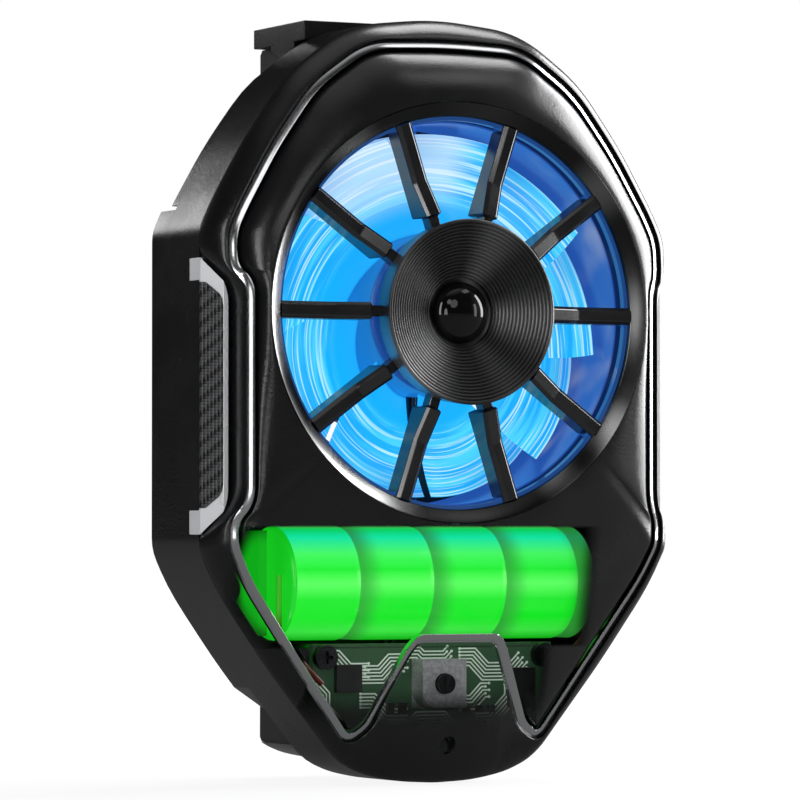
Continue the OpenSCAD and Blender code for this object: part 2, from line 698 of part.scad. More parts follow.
module mid_shell() {
    shelf = 3.1;
    rib_h = 1.2;
    color("#1c1d1f") stand_up() difference() {
        union() {
            difference() {
                slab(full_loop, part_z, rim_z);
                slab(inner_loop, part_z - 1, rim_z + 1);
            }
            intersection() {
                slab(shifted(full_loop, wall / 2), part_z, rim_z);
                union() {
                    block(-half_w, half_w, floor_edge, body_top, part_z, floor_z);
                    difference() {
                        block(-half_w, half_w, floor_edge - 0.1, floor_edge + wall - 0.1, part_z,
                            floor_z + rib_h);
                        at_fan() disc(shroud_r + shroud_wall + 0.1, floor_z, rim_z);
                    }
                    both_sides() {
                        block(half_w - waist_in - shelf / 2, half_w, waist_bottom - 5,
                            waist_top + 5, rim_z - 1.5, rim_z);
                        for (p = front_screw_places) translate([p[0], p[1], 0])
                            disc(boss_r, part_z, rim_z);
                        translate([jaw_screw_place[0], jaw_screw_place[1], 0])
                            disc(boss_r, part_z, rim_z);
                        block(jaw_screw_place[0] - 0.9, jaw_screw_place[0] + 0.9, bottom,
                            jaw_screw_place[1], part_z, rim_z);
                        for (p = cover_screw_places) translate([p[0], p[1], 0])
                            disc(boss_r, part_z, part_z + 5);
                    }
                }
            }
        }
        exhaust(exhaust_r, part_z - 1, floor_z + 1);
        both_sides() {
            for (p = front_screw_places) translate([p[0], p[1], 0])
                disc(screw_r + 0.1, part_z - 1, rim_z + 1);
            for (p = front_screw_places) translate([p[0], p[1], 0])
                disc(head_r + 0.1, part_z - 1, part_z + 1.3);
            for (p = cover_screw_places) translate([p[0], p[1], 0])
                disc(screw_r, part_z - 1, part_z + 4);
            translate([jaw_screw_place[0], jaw_screw_place[1], 0])
                disc(screw_r + 0.1, part_z - 1, rim_z + 1);
            for (a = [45, -45]) at_fan() rotate(a) translate([ear_r, 0, 0])
                disc(screw_r, part_z - 1, floor_z + 1);
            tab_recess(pad_rear_top + 0.1 - slip, waist_top + 4.3 + slip);
            tab_recess(waist_bottom - 4.6 - slip, pad_rear_bottom - 0.1 + slip);
        }
        port_hole(bottom - 1, bottom + wall + 1.5);
    }
}

module tab_recess(y0, y1) {
    block(half_w - tab_thick - slip, half_w + 1, y0, y1, waist_floor_z - tab_back - slip,
        waist_floor_z + 1);
}

// The mouth for the charging port: a slot with round ends, run up along y.
module port_hole(y0, y1) {
    r = port_h / 2 + 0.15;
    half = port_w / 2 + 0.15 - r;
    translate([0, y1, port_z]) rotate([90, 0, 0]) linear_extrude(y1 - y0) {
        square([2 * half, 2 * r], center = true);
        for (x = [-half, half]) translate([x, 0]) circle(r);
    }
}

rod_z = (cover_in_z + part_z) / 2;
cover_top = part_y - 0.2;
rod_boss_h = 3;
grille_rings = 3;

module rear_cover() {
    foot_slant = 4;
    slant_in = 9;
    foot_in = 15;
    zone = [[-half_w - 1, cover_top], [half_w + 1, cover_top],
        [half_w + 1, cover_bottom + foot_slant], [half_w - slant_in, cover_bottom + foot_slant],
        [half_w - foot_in, cover_bottom], [-half_w + foot_in, cover_bottom],
        [-half_w + slant_in, cover_bottom + foot_slant], [-half_w - 1, cover_bottom + foot_slant]];
    core = [[-half_w - 1, cover_top - wall], [half_w + 1, cover_top - wall],
        [half_w + 1, cover_bottom + foot_slant + wall],
        [half_w - slant_in - 0.6, cover_bottom + foot_slant + wall],
        [half_w - foot_in - 0.6, cover_bottom + wall], [-half_w + foot_in + 0.6, cover_bottom + wall],
        [-half_w + slant_in + 0.6, cover_bottom + foot_slant + wall],
        [-half_w - 1, cover_bottom + foot_slant + wall]];
    color(colour_black) stand_up() difference() {
        union() {
            difference() {
                intersection() {
                    slab(full_loop, cover_z, part_z);
                    translate([0, 0, cover_z - 1]) linear_extrude(rear_h + 2) polygon(zone);
                }
                intersection() {
                    slab(inner_loop, cover_in_z, part_z + 1);
                    translate([0, 0, cover_z - 1]) linear_extrude(rear_h + 3) polygon(core);
                }
            }
            both_sides() {
                for (p = cover_screw_places) translate([p[0], p[1], 0])
                    disc(boss_r, cover_z, part_z);
                block(rod_x - 2, rod_x + 2, cover_top - rod_boss_h, cover_top, cover_z, part_z);
                translate([board_post_x, board_post_y, 0])
                    disc(board_post_r, cover_z, board_front_z - board_t);
            }
        }
        difference() {
            exhaust(exhaust_r, cover_z - 1, cover_in_z + 1);
            grille_bars();
        }
        both_sides() {
            translate([rod_x, 0, rod_z]) rotate([90, 0, 0])
                translate([0, 0, -cover_top - 1]) cylinder(r = rod_r + slip, h = rod_boss_h + wall + 3);
            for (p = cover_screw_places) translate([p[0], p[1], 0]) {
                disc(screw_r + 0.1, cover_z - 1, part_z + 1);
                disc(head_r + 0.1, cover_z - 1, cover_z + 1.4);
            }
            translate([board_post_x, board_post_y, 0])
                disc(screw_r, cover_in_z + 2, rim_z);
        }
    }
}

// The rear grille: rings and ribs left standing in the exhaust.
module grille_bars() {
    bar = 1.3;
    step = exhaust_r / (grille_rings + 1);
    at_fan() {
        disc(step, cover_z - 2, cover_in_z + 2);
        for (k = [2 : grille_rings])
            tube(k * step + bar / 2, k * step - bar / 2, cover_z - 2, cover_in_z + 2);
        for (a = [0 : 45 : 315]) rotate(a + 22.5)
            block(0, exhaust_r + 1, -bar / 2, bar / 2, cover_z - 2, cover_in_z + 2);
    }
}

lower_pad_y = bottom + 19.1;
lower_pad_w = body_w - 25.5;
lower_pad_l = 9;
side_pad_w = 4.6;
side_pad_x = half_w - 5.35;
side_pad_y = (waist_top + waist_bottom) / 2 - 1.1;
side_pad_l = waist_top - waist_bottom + 5.6;

module seat_pads() {
    color("#2c2d30") stand_up() {
        translate([0, lower_pad_y, 0]) round_plate(lower_pad_w, lower_pad_l, 2, 0, pad_h);
        both_sides() translate([side_pad_x, side_pad_y, 0])
            round_plate(side_pad_w, side_pad_l, 2, 0, pad_h);
    }
}

// Phone clamp

jaw_top = body_top + 0.2;
jaw_in_y = jaw_top - jaw_t;
lower_jaw_low = bottom + 1.9;
lower_jaw_in_y = lower_jaw_low + jaw_t;
carriage_low = part_y + part_gap - 0.2;
carriage_z1 = part_z - 0.2;
spring_pressed = 10.4;
rod_head_h = 1.2;
rod_low = cover_top - rod_boss_h - rod_head_h - clamp_travel - spring_pressed;
rod_seat_h = 7;
rod_top = carriage_low + rod_seat_h;

module clamp_carriage() {
    carriage_loop = shifted(full_loop, carriage_in);
    pocket_loop = shifted(full_loop, carriage_in + wall);
    color(colour_black) stand_up() {
        difference() {
            intersection() {
                slab(carriage_loop, cover_z, carriage_z1);
                block(-half_w, half_w, carriage_low, body_top + 1, cover_z - 1, part_z + 1);
            }
            difference() {
                intersection() {
                    slab(pocket_loop, cover_in_z, part_z);
                    block(-half_w, half_w, carriage_low + wall, body_top, cover_z, part_z + 1);
                }
                both_sides() block(rod_x - 2, rod_x + 2, carriage_low, carriage_low + rod_seat_h + 1,
                    cover_z, part_z);
                for (x = [-11, 0, 11]) block(x - 0.6, x + 0.6, carriage_low, body_top,
                    cover_z, part_z);
            }
            both_sides() translate([rod_x, 0, rod_z]) rotate([90, 0, 0])
                translate([0, 0, -rod_top - touch]) cylinder(r = rod_r, h = rod_seat_h + 1);
        }
        difference() {
            union() {
                block(-jaw_half_w, jaw_half_w, jaw_in_y, jaw_top, -jaw_reach, carriage_z1);
                both_sides() block(jaw_half_w - 1.5, jaw_half_w, jaw_in_y - 4, jaw_top,
                    -jaw_reach + 5, cover_z + 1);
            }
            both_sides() translate([jaw_half_w - 1.5, jaw_in_y - 4, -jaw_reach + 5])
                rotate([0, 90, 0]) translate([0, 0, -1]) cylinder(r = 3, h = 4);
        }
    }
}

// A jaw's pad seen from its end: a thick strip under the jaw with a lip at its far edge.
module jaw_pad(sign, seat_y) {
    far = -jaw_reach - 1.4;
    face_y = seat_y - sign * jaw_pad_t;
    translate([jaw_half_w - 1.6, 0, 0]) rotate([0, -90, 0])
        linear_extrude(2 * jaw_half_w - 3.2)
            polygon([[-0.2, seat_y], [-0.2, face_y], [-jaw_reach + 0.4, face_y],
                [-jaw_reach + 0.1, face_y - sign * lip], [far, face_y - sign * lip],
                [far, seat_y - sign * 0.6], [far + 0.6, seat_y]]);
}

module upper_jaw_pad() {
    color("#202124") stand_up() jaw_pad(1, jaw_in_y);
}

module lower_jaw_pad() {
    color("#202124") stand_up() jaw_pad(-1, lower_jaw_in_y);
}

jaw_base_top = cover_bottom - 0.5;

module lower_jaw() {
    jaw_loop = shifted(full_loop, 1.9);
    color(colour_black) stand_up() difference() {
        union() {
            intersection() {
                slab(jaw_loop, cover_z, part_z);
                block(-jaw_half_w, jaw_half_w, bottom, jaw_base_top, cover_z - 1, part_z + 1);
            }
            intersection() {
                slab(jaw_loop, -jaw_reach, part_z);
                block(-jaw_half_w, jaw_half_w, bottom, lower_jaw_in_y, -jaw_reach, part_z);
            }
        }
        both_sides() translate([jaw_screw_place[0], jaw_screw_place[1], 0]) {
            disc(screw_r + 0.1, cover_z - 1, part_z + 1);
            disc(head_r + 0.1, cover_z - 1, cover_z + 1.6);
        }
    }
}

// A rod with a head at its lower end, which presses the spring against the boss above it.
module guide_rod() {
    color(colour_steel) translate([rod_x, 0, rod_z]) rotate([90, 0, 0]) {
        translate([0, 0, -rod_top]) cylinder(r = rod_r, h = rod_top - rod_low);
        translate([0, 0, -rod_low - rod_head_h]) cylinder(r = spring_r + wire_r, h = rod_head_h);
    }
}

module right_guide_rod() {
    stand_up() guide_rod();
}

module left_guide_rod() {
    stand_up() mirror([1, 0, 0]) guide_rod();
}

spring_high = cover_top - rod_boss_h - slip;
spring_low = rod_low + rod_head_h + slip;
spring_steps = 8;
wire_sides = 6;

// Middle line of a coil with a dead turn at each end, pressed flat against its seats.
function coil_point(k) =
    let (n = spring_turns * spring_steps, s = k / n, a = 360 * spring_turns * s,
        y0 = spring_low + wire_r, y1 = spring_high - wire_r,
        dead = 1 / spring_turns, pitch = (y1 - y0 - 4 * wire_r) / (1 - 2 * dead),
        y = s < dead ? y0 + 2 * wire_r * s / dead
            : s > 1 - dead ? y1 - 2 * wire_r * (1 - s) / dead
            : y0 + 2 * wire_r + pitch * (s - dead))
    [spring_r * cos(a), y, spring_r * sin(a)];

module clamp_spring() {
    n = spring_turns * spring_steps;
    rows = [for (k = [0 : n]) let (p = coil_point(k), r = unit([p[0], 0, p[2]]))
        [for (j = [0 : wire_sides - 1]) let (b = 360 * j / wire_sides)
            p + wire_r * (cos(b) * r + sin(b) * [0, 1, 0])]];
    faces = [for (k = [0 : n - 1], j = [0 : wire_sides - 1])
        let (a = k * wire_sides + j, b = k * wire_sides + (j + 1) % wire_sides)
        each [[a, a + wire_sides, b + wire_sides], [a, b + wire_sides, b]]];
    first = [for (j = [0 : wire_sides - 1]) j];
    last = [for (j = [wire_sides - 1 : -1 : 0]) n * wire_sides + j];
    color(colour_steel) translate([rod_x, 0, rod_z])
        polyhedron([for (row = rows) each row], concat(faces, [first, last]), convexity = 10);
}

least_gap = (spring_high - spring_low - 6 * wire_r) / (spring_turns - 2) - 2 * wire_r;
echo(least_gap_between_curls = least_gap);

module right_clamp_spring() {
    stand_up() clamp_spring();
}

module left_clamp_spring() {
    stand_up() mirror([1, 0, 0]) clamp_spring();
}

// Fan

ear_r = ring_r + 0.9;
base_h = 1.2;
base_r = 9.4;
frame_drop = 3.8;
cup_drop = 5;
cup_lift = 2.6;
blade_drop = 6.4;
tube_drop = 3;
frame_top = ring_z - frame_drop;
cup_top = ring_z - cup_drop;
cup_low = floor_z + cup_lift;
blade_top = ring_z - blade_drop;
tube_top = cup_top - tube_drop;
light_z = frame_top;

module fan_frame() {
    arm_w = 2.4;
    ear_pad_r = 2;
    flange_r = ring_r + 1.9;
    color("#15161a") stand_up() at_fan() difference() {
        union() {
            tube(shroud_r + shroud_wall, shroud_r, floor_z, frame_top);
            tube(flange_r, shroud_r, frame_top - 0.8, frame_top);
            disc(base_r, floor_z, floor_z + base_h);
            disc(bush_r + bush_wall, floor_z, tube_top);
            for (a = [0 : 90 : 270]) rotate(a)
                block(base_r - 1, shroud_r + 0.5, -arm_w / 2, arm_w / 2, floor_z, floor_z + base_h);
            both_sides() for (a = [45, -45]) rotate(a) {
                translate([ear_r, 0, 0]) disc(ear_pad_r, floor_z, floor_z + 2);
                block(shroud_r + 0.4, ear_r, -ear_pad_r, ear_pad_r, floor_z, floor_z + 2);
            }
        }
        disc(bush_r, floor_z + 0.6, tube_top + 1);
        block(-wire_gap, wire_gap, -shroud_r - 2, -shroud_r + 1, floor_z + base_h,
            floor_z + base_h + 1.1);
        both_sides() for (a = [45, -45]) rotate(a) translate([ear_r, 0, 0])
            disc(screw_r + 0.1, floor_z - 1, floor_z + 3);
    }
}

// A blade's section at radius r: a camber line that falls from the front edge to the back edge.
sections = 5;
chords = 5;
function blade_turn(r) = blade_arc - 0.25 * (r - cup_r);
function blade_lead(r) = 0.9 * (r - cup_r);
function camber(r, s, side) =
    let (a = blade_lead(r) + blade_turn(r) * (s - 0.5),
        z = blade_top - blade_h * pow(s, 0.85) + side * blade_t / 2 * (0.35 + 2.6 * s * (1 - s)))
    [r * cos(a), r * sin(a), z - blade_t / 2];
function blade_section(r) =
    concat([for (k = [0 : chords]) camber(r, k / chords, 1)],
        [for (k = [chords : -1 : 0]) camber(r, k / chords, -1)]);

module blade() {
    rows = [for (k = [0 : sections - 1])
        blade_section(cup_r - 0.35 + (blade_r - cup_r + 0.35) * k / (sections - 1))];
    m = 2 * (chords + 1);
    faces = [for (k = [0 : sections - 2], j = [0 : m - 1])
        let (a = k * m + j, b = k * m + (j + 1) % m)
        each [[a, b, b + m], [a, b + m, a + m]]];
    caps = [for (j = [0 : chords - 1]) each [
        [j, m - 1 - j, j + 1], [j + 1, m - 1 - j, m - 2 - j]]];
    end = (sections - 1) * m;
    far_caps = [for (c = caps) [end + c[0], end + c[2], end + c[1]]];
    polyhedron([for (row = rows) each row], concat(faces, caps, far_caps), convexity = 10);
}

module rotor() {
    color(colour_blue) stand_up() at_fan() {
        difference() {
            disc(cup_r, cup_low, cup_top);
            disc(cup_r - cup_wall, cup_low - 1, cup_top - 1.1);
        }
        difference() {
            disc(shaft_r + 0.9, tube_top + 0.3, cup_top - 1);
            disc(shaft_r, tube_top, cup_top - 1.1);
        }
        for (k = [0 : blades - 1]) rotate(k * 360 / blades) blade();
    }
}

yoke_t = 0.5;
magnet_t = 0.9;
magnet_top = cup_top - 1.3;

module rotor_yoke() {
    color(colour_steel) stand_up() at_fan()
        tube(cup_r - cup_wall, cup_r - cup_wall - yoke_t, cup_low + 0.2, magnet_top);
}

module magnet_ring() {
    outer = cup_r - cup_wall - yoke_t;
    color("#2a2a2c") stand_up() at_fan() tube(outer, outer - magnet_t, cup_low + 0.5, magnet_top);
}

shaft_low = floor_z + 1;

module rotor_shaft() {
    color(colour_steel) stand_up() at_fan() difference() {
        disc(shaft_r, shaft_low, cup_top - 1.1);
        tube(shaft_r + 1, shaft_r - 0.2, clip_z, clip_z + 0.3);
    }
}

clip_z = shaft_low + 0.5;

module shaft_clip() {
    color("#e6e2d4") stand_up() at_fan() tube(shaft_r + 0.5, shaft_r - 0.15, clip_z + 0.05, clip_z + 0.25);
}

module bearing_bush() {
    color("#b08a4a") stand_up() at_fan() tube(bush_r, shaft_r + shaft_fit, clip_z + 0.5, tube_top - 0.2);
}

core_out = cup_r - cup_wall - yoke_t - magnet_t - 0.3;
core_lift = 3.7;
core_z = floor_z + core_lift;
core_h = 3;
arm_half = 1;

module stator_core() {
    seat = bush_r + bush_wall;
    color("#8d9094") stand_up() at_fan() translate([0, 0, core_z]) linear_extrude(core_h) difference() {
        union() {
            circle(seat + 1.2);
            for (a = [0 : 90 : 270]) rotate(a) {
                translate([0, -arm_half]) square([core_out - 0.5, 2 * arm_half]);
                intersection() {
                    difference() {
                        circle(core_out);
                        circle(core_out - 0.9);
                    }
                    polygon([[0, 0], [core_out + 2, -core_out * 0.75], [core_out + 2, core_out * 0.75]]);
                }
            }
        }
        circle(seat + slip);
    }
}

module stator_windings() {
    coil = 0.75;
    near = bush_r + bush_wall + 1.4;
    far = core_out - 1.3;
    color("#b5652b") stand_up() at_fan() for (a = [0 : 90 : 270]) rotate(a) difference() {
        block(near, far, -arm_half - coil, arm_half + coil, core_z - coil, core_z + core_h + coil);
        block(near - 1, far + 1, -arm_half, arm_half, core_z, core_z + core_h);
    }
}

module fan_board() {
    z0 = floor_z + base_h;
    color(colour_board) stand_up() at_fan() {
        tube(base_r - 0.6, bush_r + bush_wall + slip, z0, z0 + 0.8);
        translate([6, 2.4, z0 + 0.8]) block(-1, 1, -1.3, 1.3, 0, 0.6);
        translate([-5.6, -3.4, z0 + 0.8]) block(-0.8, 0.8, -0.5, 0.5, 0, 0.6);
    }
}

module light_board() {
    color(colour_board) stand_up() at_fan() tube(ring_r + 1.7, shroud_r + 1.3, light_z, light_z + 0.4);
}

module light_emitters() {
    z0 = light_z + 0.4;
    color("#dff3ff") stand_up() at_fan() for (k = [0 : lamps - 1])
        rotate((k + 0.5) * 360 / lamps) block(shroud_r + 1.5, shroud_r + 2.7, -1, 1, z0, z0 + 0.6);
}

// Power

cell_gap = 0.15;
sleeve_t = 0.25;
cap_l = 1;
tab_t = 0.3;
cell_tab_half = 3;
seat_cell_x = cell_l / 2 + tab_t;
cradle_wall = 1.2;

module along_cell() {
    translate([0, cell_y, cell_z]) rotate([0, 90, 0]) children();
}

module battery_cell() {
    r = cell_d / 2 - sleeve_t;
    color(colour_steel) stand_up() along_cell() {
        cylinder(r = r, h = cell_l - 2 * cap_l, center = true);
        translate([0, 0, cell_l / 2 - cap_l]) cylinder(r = cell_d * 0.2, h = cap_l);
        translate([0, 0, -cell_l / 2]) cylinder(r = r - 0.8, h = cap_l + touch);
    }
}

// The sleeve has shallow grooves that part it into bands, and laps round the cell's ends.
module cell_sleeve() {
    r = cell_d / 2;
    first_band = 8.8;
    last_band = 2.2;
    bands = 3;
    band = (cell_l - first_band - last_band) / bands;
    groove = 0.12;
    color(colour_green) stand_up() along_cell() rotate_extrude() difference() {
        translate([0, -cell_l / 2 + cap_l - 0.2]) square([r, cell_l - 2 * cap_l + 0.4]);
        translate([-1, -cell_l / 2 + cap_l]) square([r - sleeve_t + 1, cell_l - 2 * cap_l]);
        translate([-1, -cell_l / 2]) square([r - 0.8 + 1, cell_l]);
        for (k = [0 : bands])
            translate([r - groove, -cell_l / 2 + first_band + k * band - 0.15]) square([1, 0.3]);
    }
}

module cell_tabs() {
    color(colour_plated) stand_up() both_sides()
        block(cell_l / 2, cell_l / 2 + tab_t, cell_y - cell_tab_half, cell_y + cell_tab_half,
            cell_z - cell_d / 2 + 1, cell_z + cell_d / 2 - 2.7);
}

module cell_cradle() {
    x1 = seat_cell_x + cradle_wall;
    half_y = cell_d / 2 - 0.6;
    color("#2b2c2e") stand_up() difference() {
        intersection() {
            union() {
                block(-x1, x1, cell_y - half_y, cell_y + half_y, cover_in_z,
                    cell_z - cell_d / 2 + 2.2);
                both_sides() block(seat_cell_x, x1, cell_y - half_y, cell_y + half_y, cover_in_z,
                    cell_z - 0.5);
            }
            slab(shifted(full_loop, wall + 0.15), cover_in_z, rim_z);
        }
        block(-wire_gap, wire_gap, cell_y - cell_d, cell_y + cell_d, cover_in_z - 1, cover_in_z + 1.5);
        along_cell() cylinder(r = cell_d / 2 + cell_gap, h = 2 * seat_cell_x, center = true);
        both_sides() block(cell_l / 2 - 1, seat_cell_x + touch, cell_y - cell_tab_half - 0.1,
            cell_y + cell_tab_half + 0.1, cell_z - cell_d / 2 + 0.95, cell_z + cell_d / 2 - 2);
    }
}

board_top_y = cell_low - 0.4;
board_low_y = board_top_y - board_l;
board_post_x = board_w / 2 - 1.4;
board_post_y = board_top_y - 1.6;
board_post_r = 1.6;

module main_board() {
    z0 = board_front_z - board_t;
    half = board_w / 2;
    color(colour_board) stand_up() difference() {
        translate([0, 0, z0]) linear_extrude(board_t)
            polygon([[-half, board_top_y], [half, board_top_y], [half, board_top_y - 4.4],
                [half - 5.6, board_low_y], [-half + 5.6, board_low_y], [-half, board_top_y - 4.4]]);
        both_sides() {
            translate([board_post_x, board_post_y, 0])
                disc(screw_r + 0.1, z0 - 1, board_front_z + 1);
            translate([jaw_screw_place[0], jaw_screw_place[1], 0])
                disc(boss_r + 0.3, z0 - 1, board_front_z + 1);
        }
    }
}

chip_half = 1.7;
chip_x = 4.5 - board_w / 2;
chip_y = board_top_y - 4.2;

module control_chip() {
    color("#0c0d0e") stand_up()
        block(chip_x - chip_half, chip_x + chip_half, chip_y - chip_half, chip_y + chip_half,
            board_front_z, board_front_z + 0.9);
}

// Small parts on the board: a long coil at the right, capacitors and resistors beside the switch.
module board_parts() {
    coil_w = 3.2;
    coil_l = 5;
    coil_x = board_w / 2 - coil_w - 3;
    coil_low = board_top_y - coil_l - 3.1;
    chip_l = 0.9;
    step = 1.7;
    first_x = switch_w / 2 + 1;
    row_y = board_top_y - 8.6;
    color("#26272a") stand_up() {
        block(coil_x, coil_x + coil_w, coil_low, coil_low + coil_l, board_front_z, board_front_z + 1.5);
        for (k = [0 : 2]) translate([first_x + k * step, row_y, board_front_z])
            cube([chip_l, chip_l, 0.5]);
        for (k = [0 : 1]) translate([-first_x - chip_l - k * step, row_y, board_front_z])
            cube([chip_l, 1.4, 0.7]);
    }
}

module charging_port() {
    t = 0.3;
    y0 = bottom + 0.7;
    color(colour_plated) stand_up() {
        difference() {
            port_body(y0, y0 + port_l, 0);
            port_body(y0 - 1, y0 + port_l - 0.6, t);
        }
        block(-port_w / 2 + 1.15, port_w / 2 - 1.15, y0 + 1, y0 + port_l - 0.5, port_z - 0.35,
            port_z + 0.35);
    }
}

module port_body(y0, y1, inset) {
    r = port_h / 2 - inset;
    half = port_w / 2 - port_h / 2;
    translate([0, y1, port_z]) rotate([90, 0, 0]) linear_extrude(y1 - y0) {
        square([2 * half, 2 * r], center = true);
        for (x = [-half, half]) translate([x, 0]) circle(r);
    }
}

// Leads are straight runs joined by bends, each bend part of a ring.
wire_r_out = 0.4;
wire_gap = 1.1;

module bend_of(radius, from, turn) {
    rotate(from) rotate_extrude(angle = turn) translate([radius, 0]) circle(wire_r_out, $fn = 24);
}

// A straight run, which reaches a little into the bends at its ends.
module run(l) {
    translate([0, 0, -touch]) cylinder(r = wire_r_out - touch, h = l + 2 * touch, $fn = 24);
}

// Along the tab on the cell's end, then slanting in to the board's front.
module cell_wires() {
    x = seat_cell_x + wire_r_out;
    z = board_front_z + wire_r_out;
    radius = 2;
    end_x = board_w / 2 - 0.9;
    end_y = board_top_y - 4.8;
    slant = x - radius * (1 - cos(45)) - end_x;
    y = end_y + slant + radius * sin(45);
    color("#a51f1f") stand_up() both_sides() {
        translate([x, cell_y + 1, z]) rotate([90, 0, 0]) run(cell_y + 1 - y);
        translate([x - radius, y, z]) bend_of(radius, -45, 45);
        translate([x - radius * (1 - cos(45)), y - radius * sin(45), z]) rotate([90, 0, -45])
            run(slant * sqrt(2));
    }
}

// From the fan board along an arm of the frame, down, behind the cell, and up to the main board.
module fan_wires() {
    z_arm = floor_z + base_h + wire_r_out;
    z_low = cover_in_z + wire_r_out + 0.1;
    y_in = fan_y - base_r + 0.6;
    y_down = floor_edge - 0.9;
    y_up = board_top_y - 1.4;
    radius = 1;
    color("#1f1f22") stand_up() for (x = [-0.5, 0.5]) translate([x, 0, 0]) {
        translate([0, y_in, z_arm]) rotate([90, 0, 0]) run(y_in - y_down - radius);
        translate([0, y_down + radius, z_arm - radius]) rotate([0, 90, 0]) bend_of(radius, 180, 90);
        translate([0, y_down, z_low + radius]) run(z_arm - z_low - 2 * radius);
        translate([0, y_down - radius, z_low + radius]) rotate([0, 90, 0]) bend_of(radius, 0, 90);
        translate([0, y_down - radius, z_low]) rotate([90, 0, 0]) run(y_down - y_up - 2 * radius);
        translate([0, y_up + radius, z_low + radius]) rotate([0, 90, 0]) bend_of(radius, -90, 90);
        translate([0, y_up, z_low + radius]) run(board_front_z - board_t - z_low - radius - 2 * touch);
    }
}

// Screws: a pan head with a cross slot over a plain shank, its head towards -z.
module screw(z_head, head_h, z_tip) {
    difference() {
        union() {
            disc(head_r, z_head, z_head + head_h);
            disc(screw_r - touch, z_head + head_h - touch, z_tip);
        }
        for (a = [0, 90]) rotate(a) block(-0.8, 0.8, -0.2, 0.2, z_head - 1, z_head + 0.5);
    }
}

module cover_screws() {
    color(colour_steel) stand_up() both_sides() for (p = cover_screw_places)
        translate([p[0], p[1], 0]) screw(cover_z + 0.4, 1, part_z + 3.6);
}

module front_screws() {
    color(colour_steel) stand_up() both_sides() for (p = front_screw_places)
        translate([p[0], p[1], 0]) screw(part_z + 0.2, 1.1, rim_z + 4);
}

module fan_screws() {
    color(colour_steel) stand_up() at_fan() both_sides() for (a = [45, -45])
        rotate(a) translate([ear_r, 0, floor_z + 3]) mirror([0, 0, 1]) screw(0, 1, 3.8);
}

module board_screws() {
    color(colour_steel) stand_up() both_sides()
        translate([board_post_x, board_post_y, board_front_z + 1]) mirror([0, 0, 1])
            screw(0, 1, 5);
}

module jaw_screws() {
    color(colour_steel) stand_up() both_sides()
        translate([jaw_screw_place[0], jaw_screw_place[1], 0])
            screw(cover_z + 0.4, 1.2, rim_z + 1.3);
}

front_bezel();
front_panel();
trim_strip();
fan_ring();
grille();
hub_dish();
hub_jewel();
left_accent();
right_accent();
left_grip_pad();
right_grip_pad();
power_button();
indicator_lens();
mid_shell();
rear_cover();
seat_pads();
clamp_carriage();
upper_jaw_pad();
lower_jaw();
lower_jaw_pad();
left_guide_rod();
right_guide_rod();
left_clamp_spring();
right_clamp_spring();
fan_frame();
rotor();
rotor_yoke();
magnet_ring();
rotor_shaft();
shaft_clip();
bearing_bush();
stator_core();
stator_windings();
fan_board();
light_board();
light_emitters();
battery_cell();
cell_sleeve();
cell_tabs();
cell_cradle();
main_board();
control_chip();
board_parts();
switch_body();
switch_plunger();
charging_port();
indicator_emitter();
cell_wires();
fan_wires();
cover_screws();
front_screws();
fan_screws();
board_screws();
jaw_screws();
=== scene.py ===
"""Looks of a clip-on phone cooling fan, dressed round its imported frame.

Shapes are worked out on the bench, in millimetres: x to the right, up the long side, and out
from the phone towards the viewer. Each mesh is turned upright and to metres as it is made.
"""
import math
import bmesh
import bpy
import numpy as np
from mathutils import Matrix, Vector


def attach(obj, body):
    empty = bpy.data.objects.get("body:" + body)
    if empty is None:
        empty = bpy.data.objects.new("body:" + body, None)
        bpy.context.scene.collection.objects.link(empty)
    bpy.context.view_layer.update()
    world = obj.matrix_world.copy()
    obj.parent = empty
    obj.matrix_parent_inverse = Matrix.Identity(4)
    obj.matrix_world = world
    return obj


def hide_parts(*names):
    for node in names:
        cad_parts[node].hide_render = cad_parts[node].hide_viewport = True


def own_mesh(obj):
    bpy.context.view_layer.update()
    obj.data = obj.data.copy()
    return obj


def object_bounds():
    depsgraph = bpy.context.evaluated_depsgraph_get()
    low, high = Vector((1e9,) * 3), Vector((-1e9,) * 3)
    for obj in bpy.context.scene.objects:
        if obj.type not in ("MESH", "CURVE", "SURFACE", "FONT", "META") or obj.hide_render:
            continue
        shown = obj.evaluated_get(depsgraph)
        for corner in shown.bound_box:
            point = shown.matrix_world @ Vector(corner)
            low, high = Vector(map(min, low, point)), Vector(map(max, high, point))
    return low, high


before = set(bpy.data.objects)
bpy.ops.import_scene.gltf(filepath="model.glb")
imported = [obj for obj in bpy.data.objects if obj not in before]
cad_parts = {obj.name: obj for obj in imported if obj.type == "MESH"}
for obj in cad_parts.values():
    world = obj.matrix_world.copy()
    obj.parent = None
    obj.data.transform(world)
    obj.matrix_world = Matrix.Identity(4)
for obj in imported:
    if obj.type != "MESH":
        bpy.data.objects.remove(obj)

cad_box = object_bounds()
scene = bpy.context.scene

# Camera: a long lens from the front left, a little below the middle of the fan, as in the photo.
view_turn = math.radians(-26.86)
view_rise = math.radians(-1.5)
view_reach = 0.62
view_aim = Vector((-0.0085, -0.023, 0.00106))
view_back = Vector((math.sin(view_turn) * math.cos(view_rise),
                    -math.cos(view_turn) * math.cos(view_rise), math.sin(view_rise)))
lens = bpy.data.cameras.new("front_left_view")
lens.sensor_width = 36
lens.lens = 230.96
lens.clip_start = 0.01
lens.clip_end = 50
viewer = bpy.data.objects.new("front_left_view", lens)
viewer.location = view_aim + view_back * view_reach
viewer.rotation_euler = view_back.to_track_quat("Z", "Y").to_euler()
scene.collection.objects.link(viewer)
scene.camera = viewer
scene.view_settings.view_transform = "Standard"

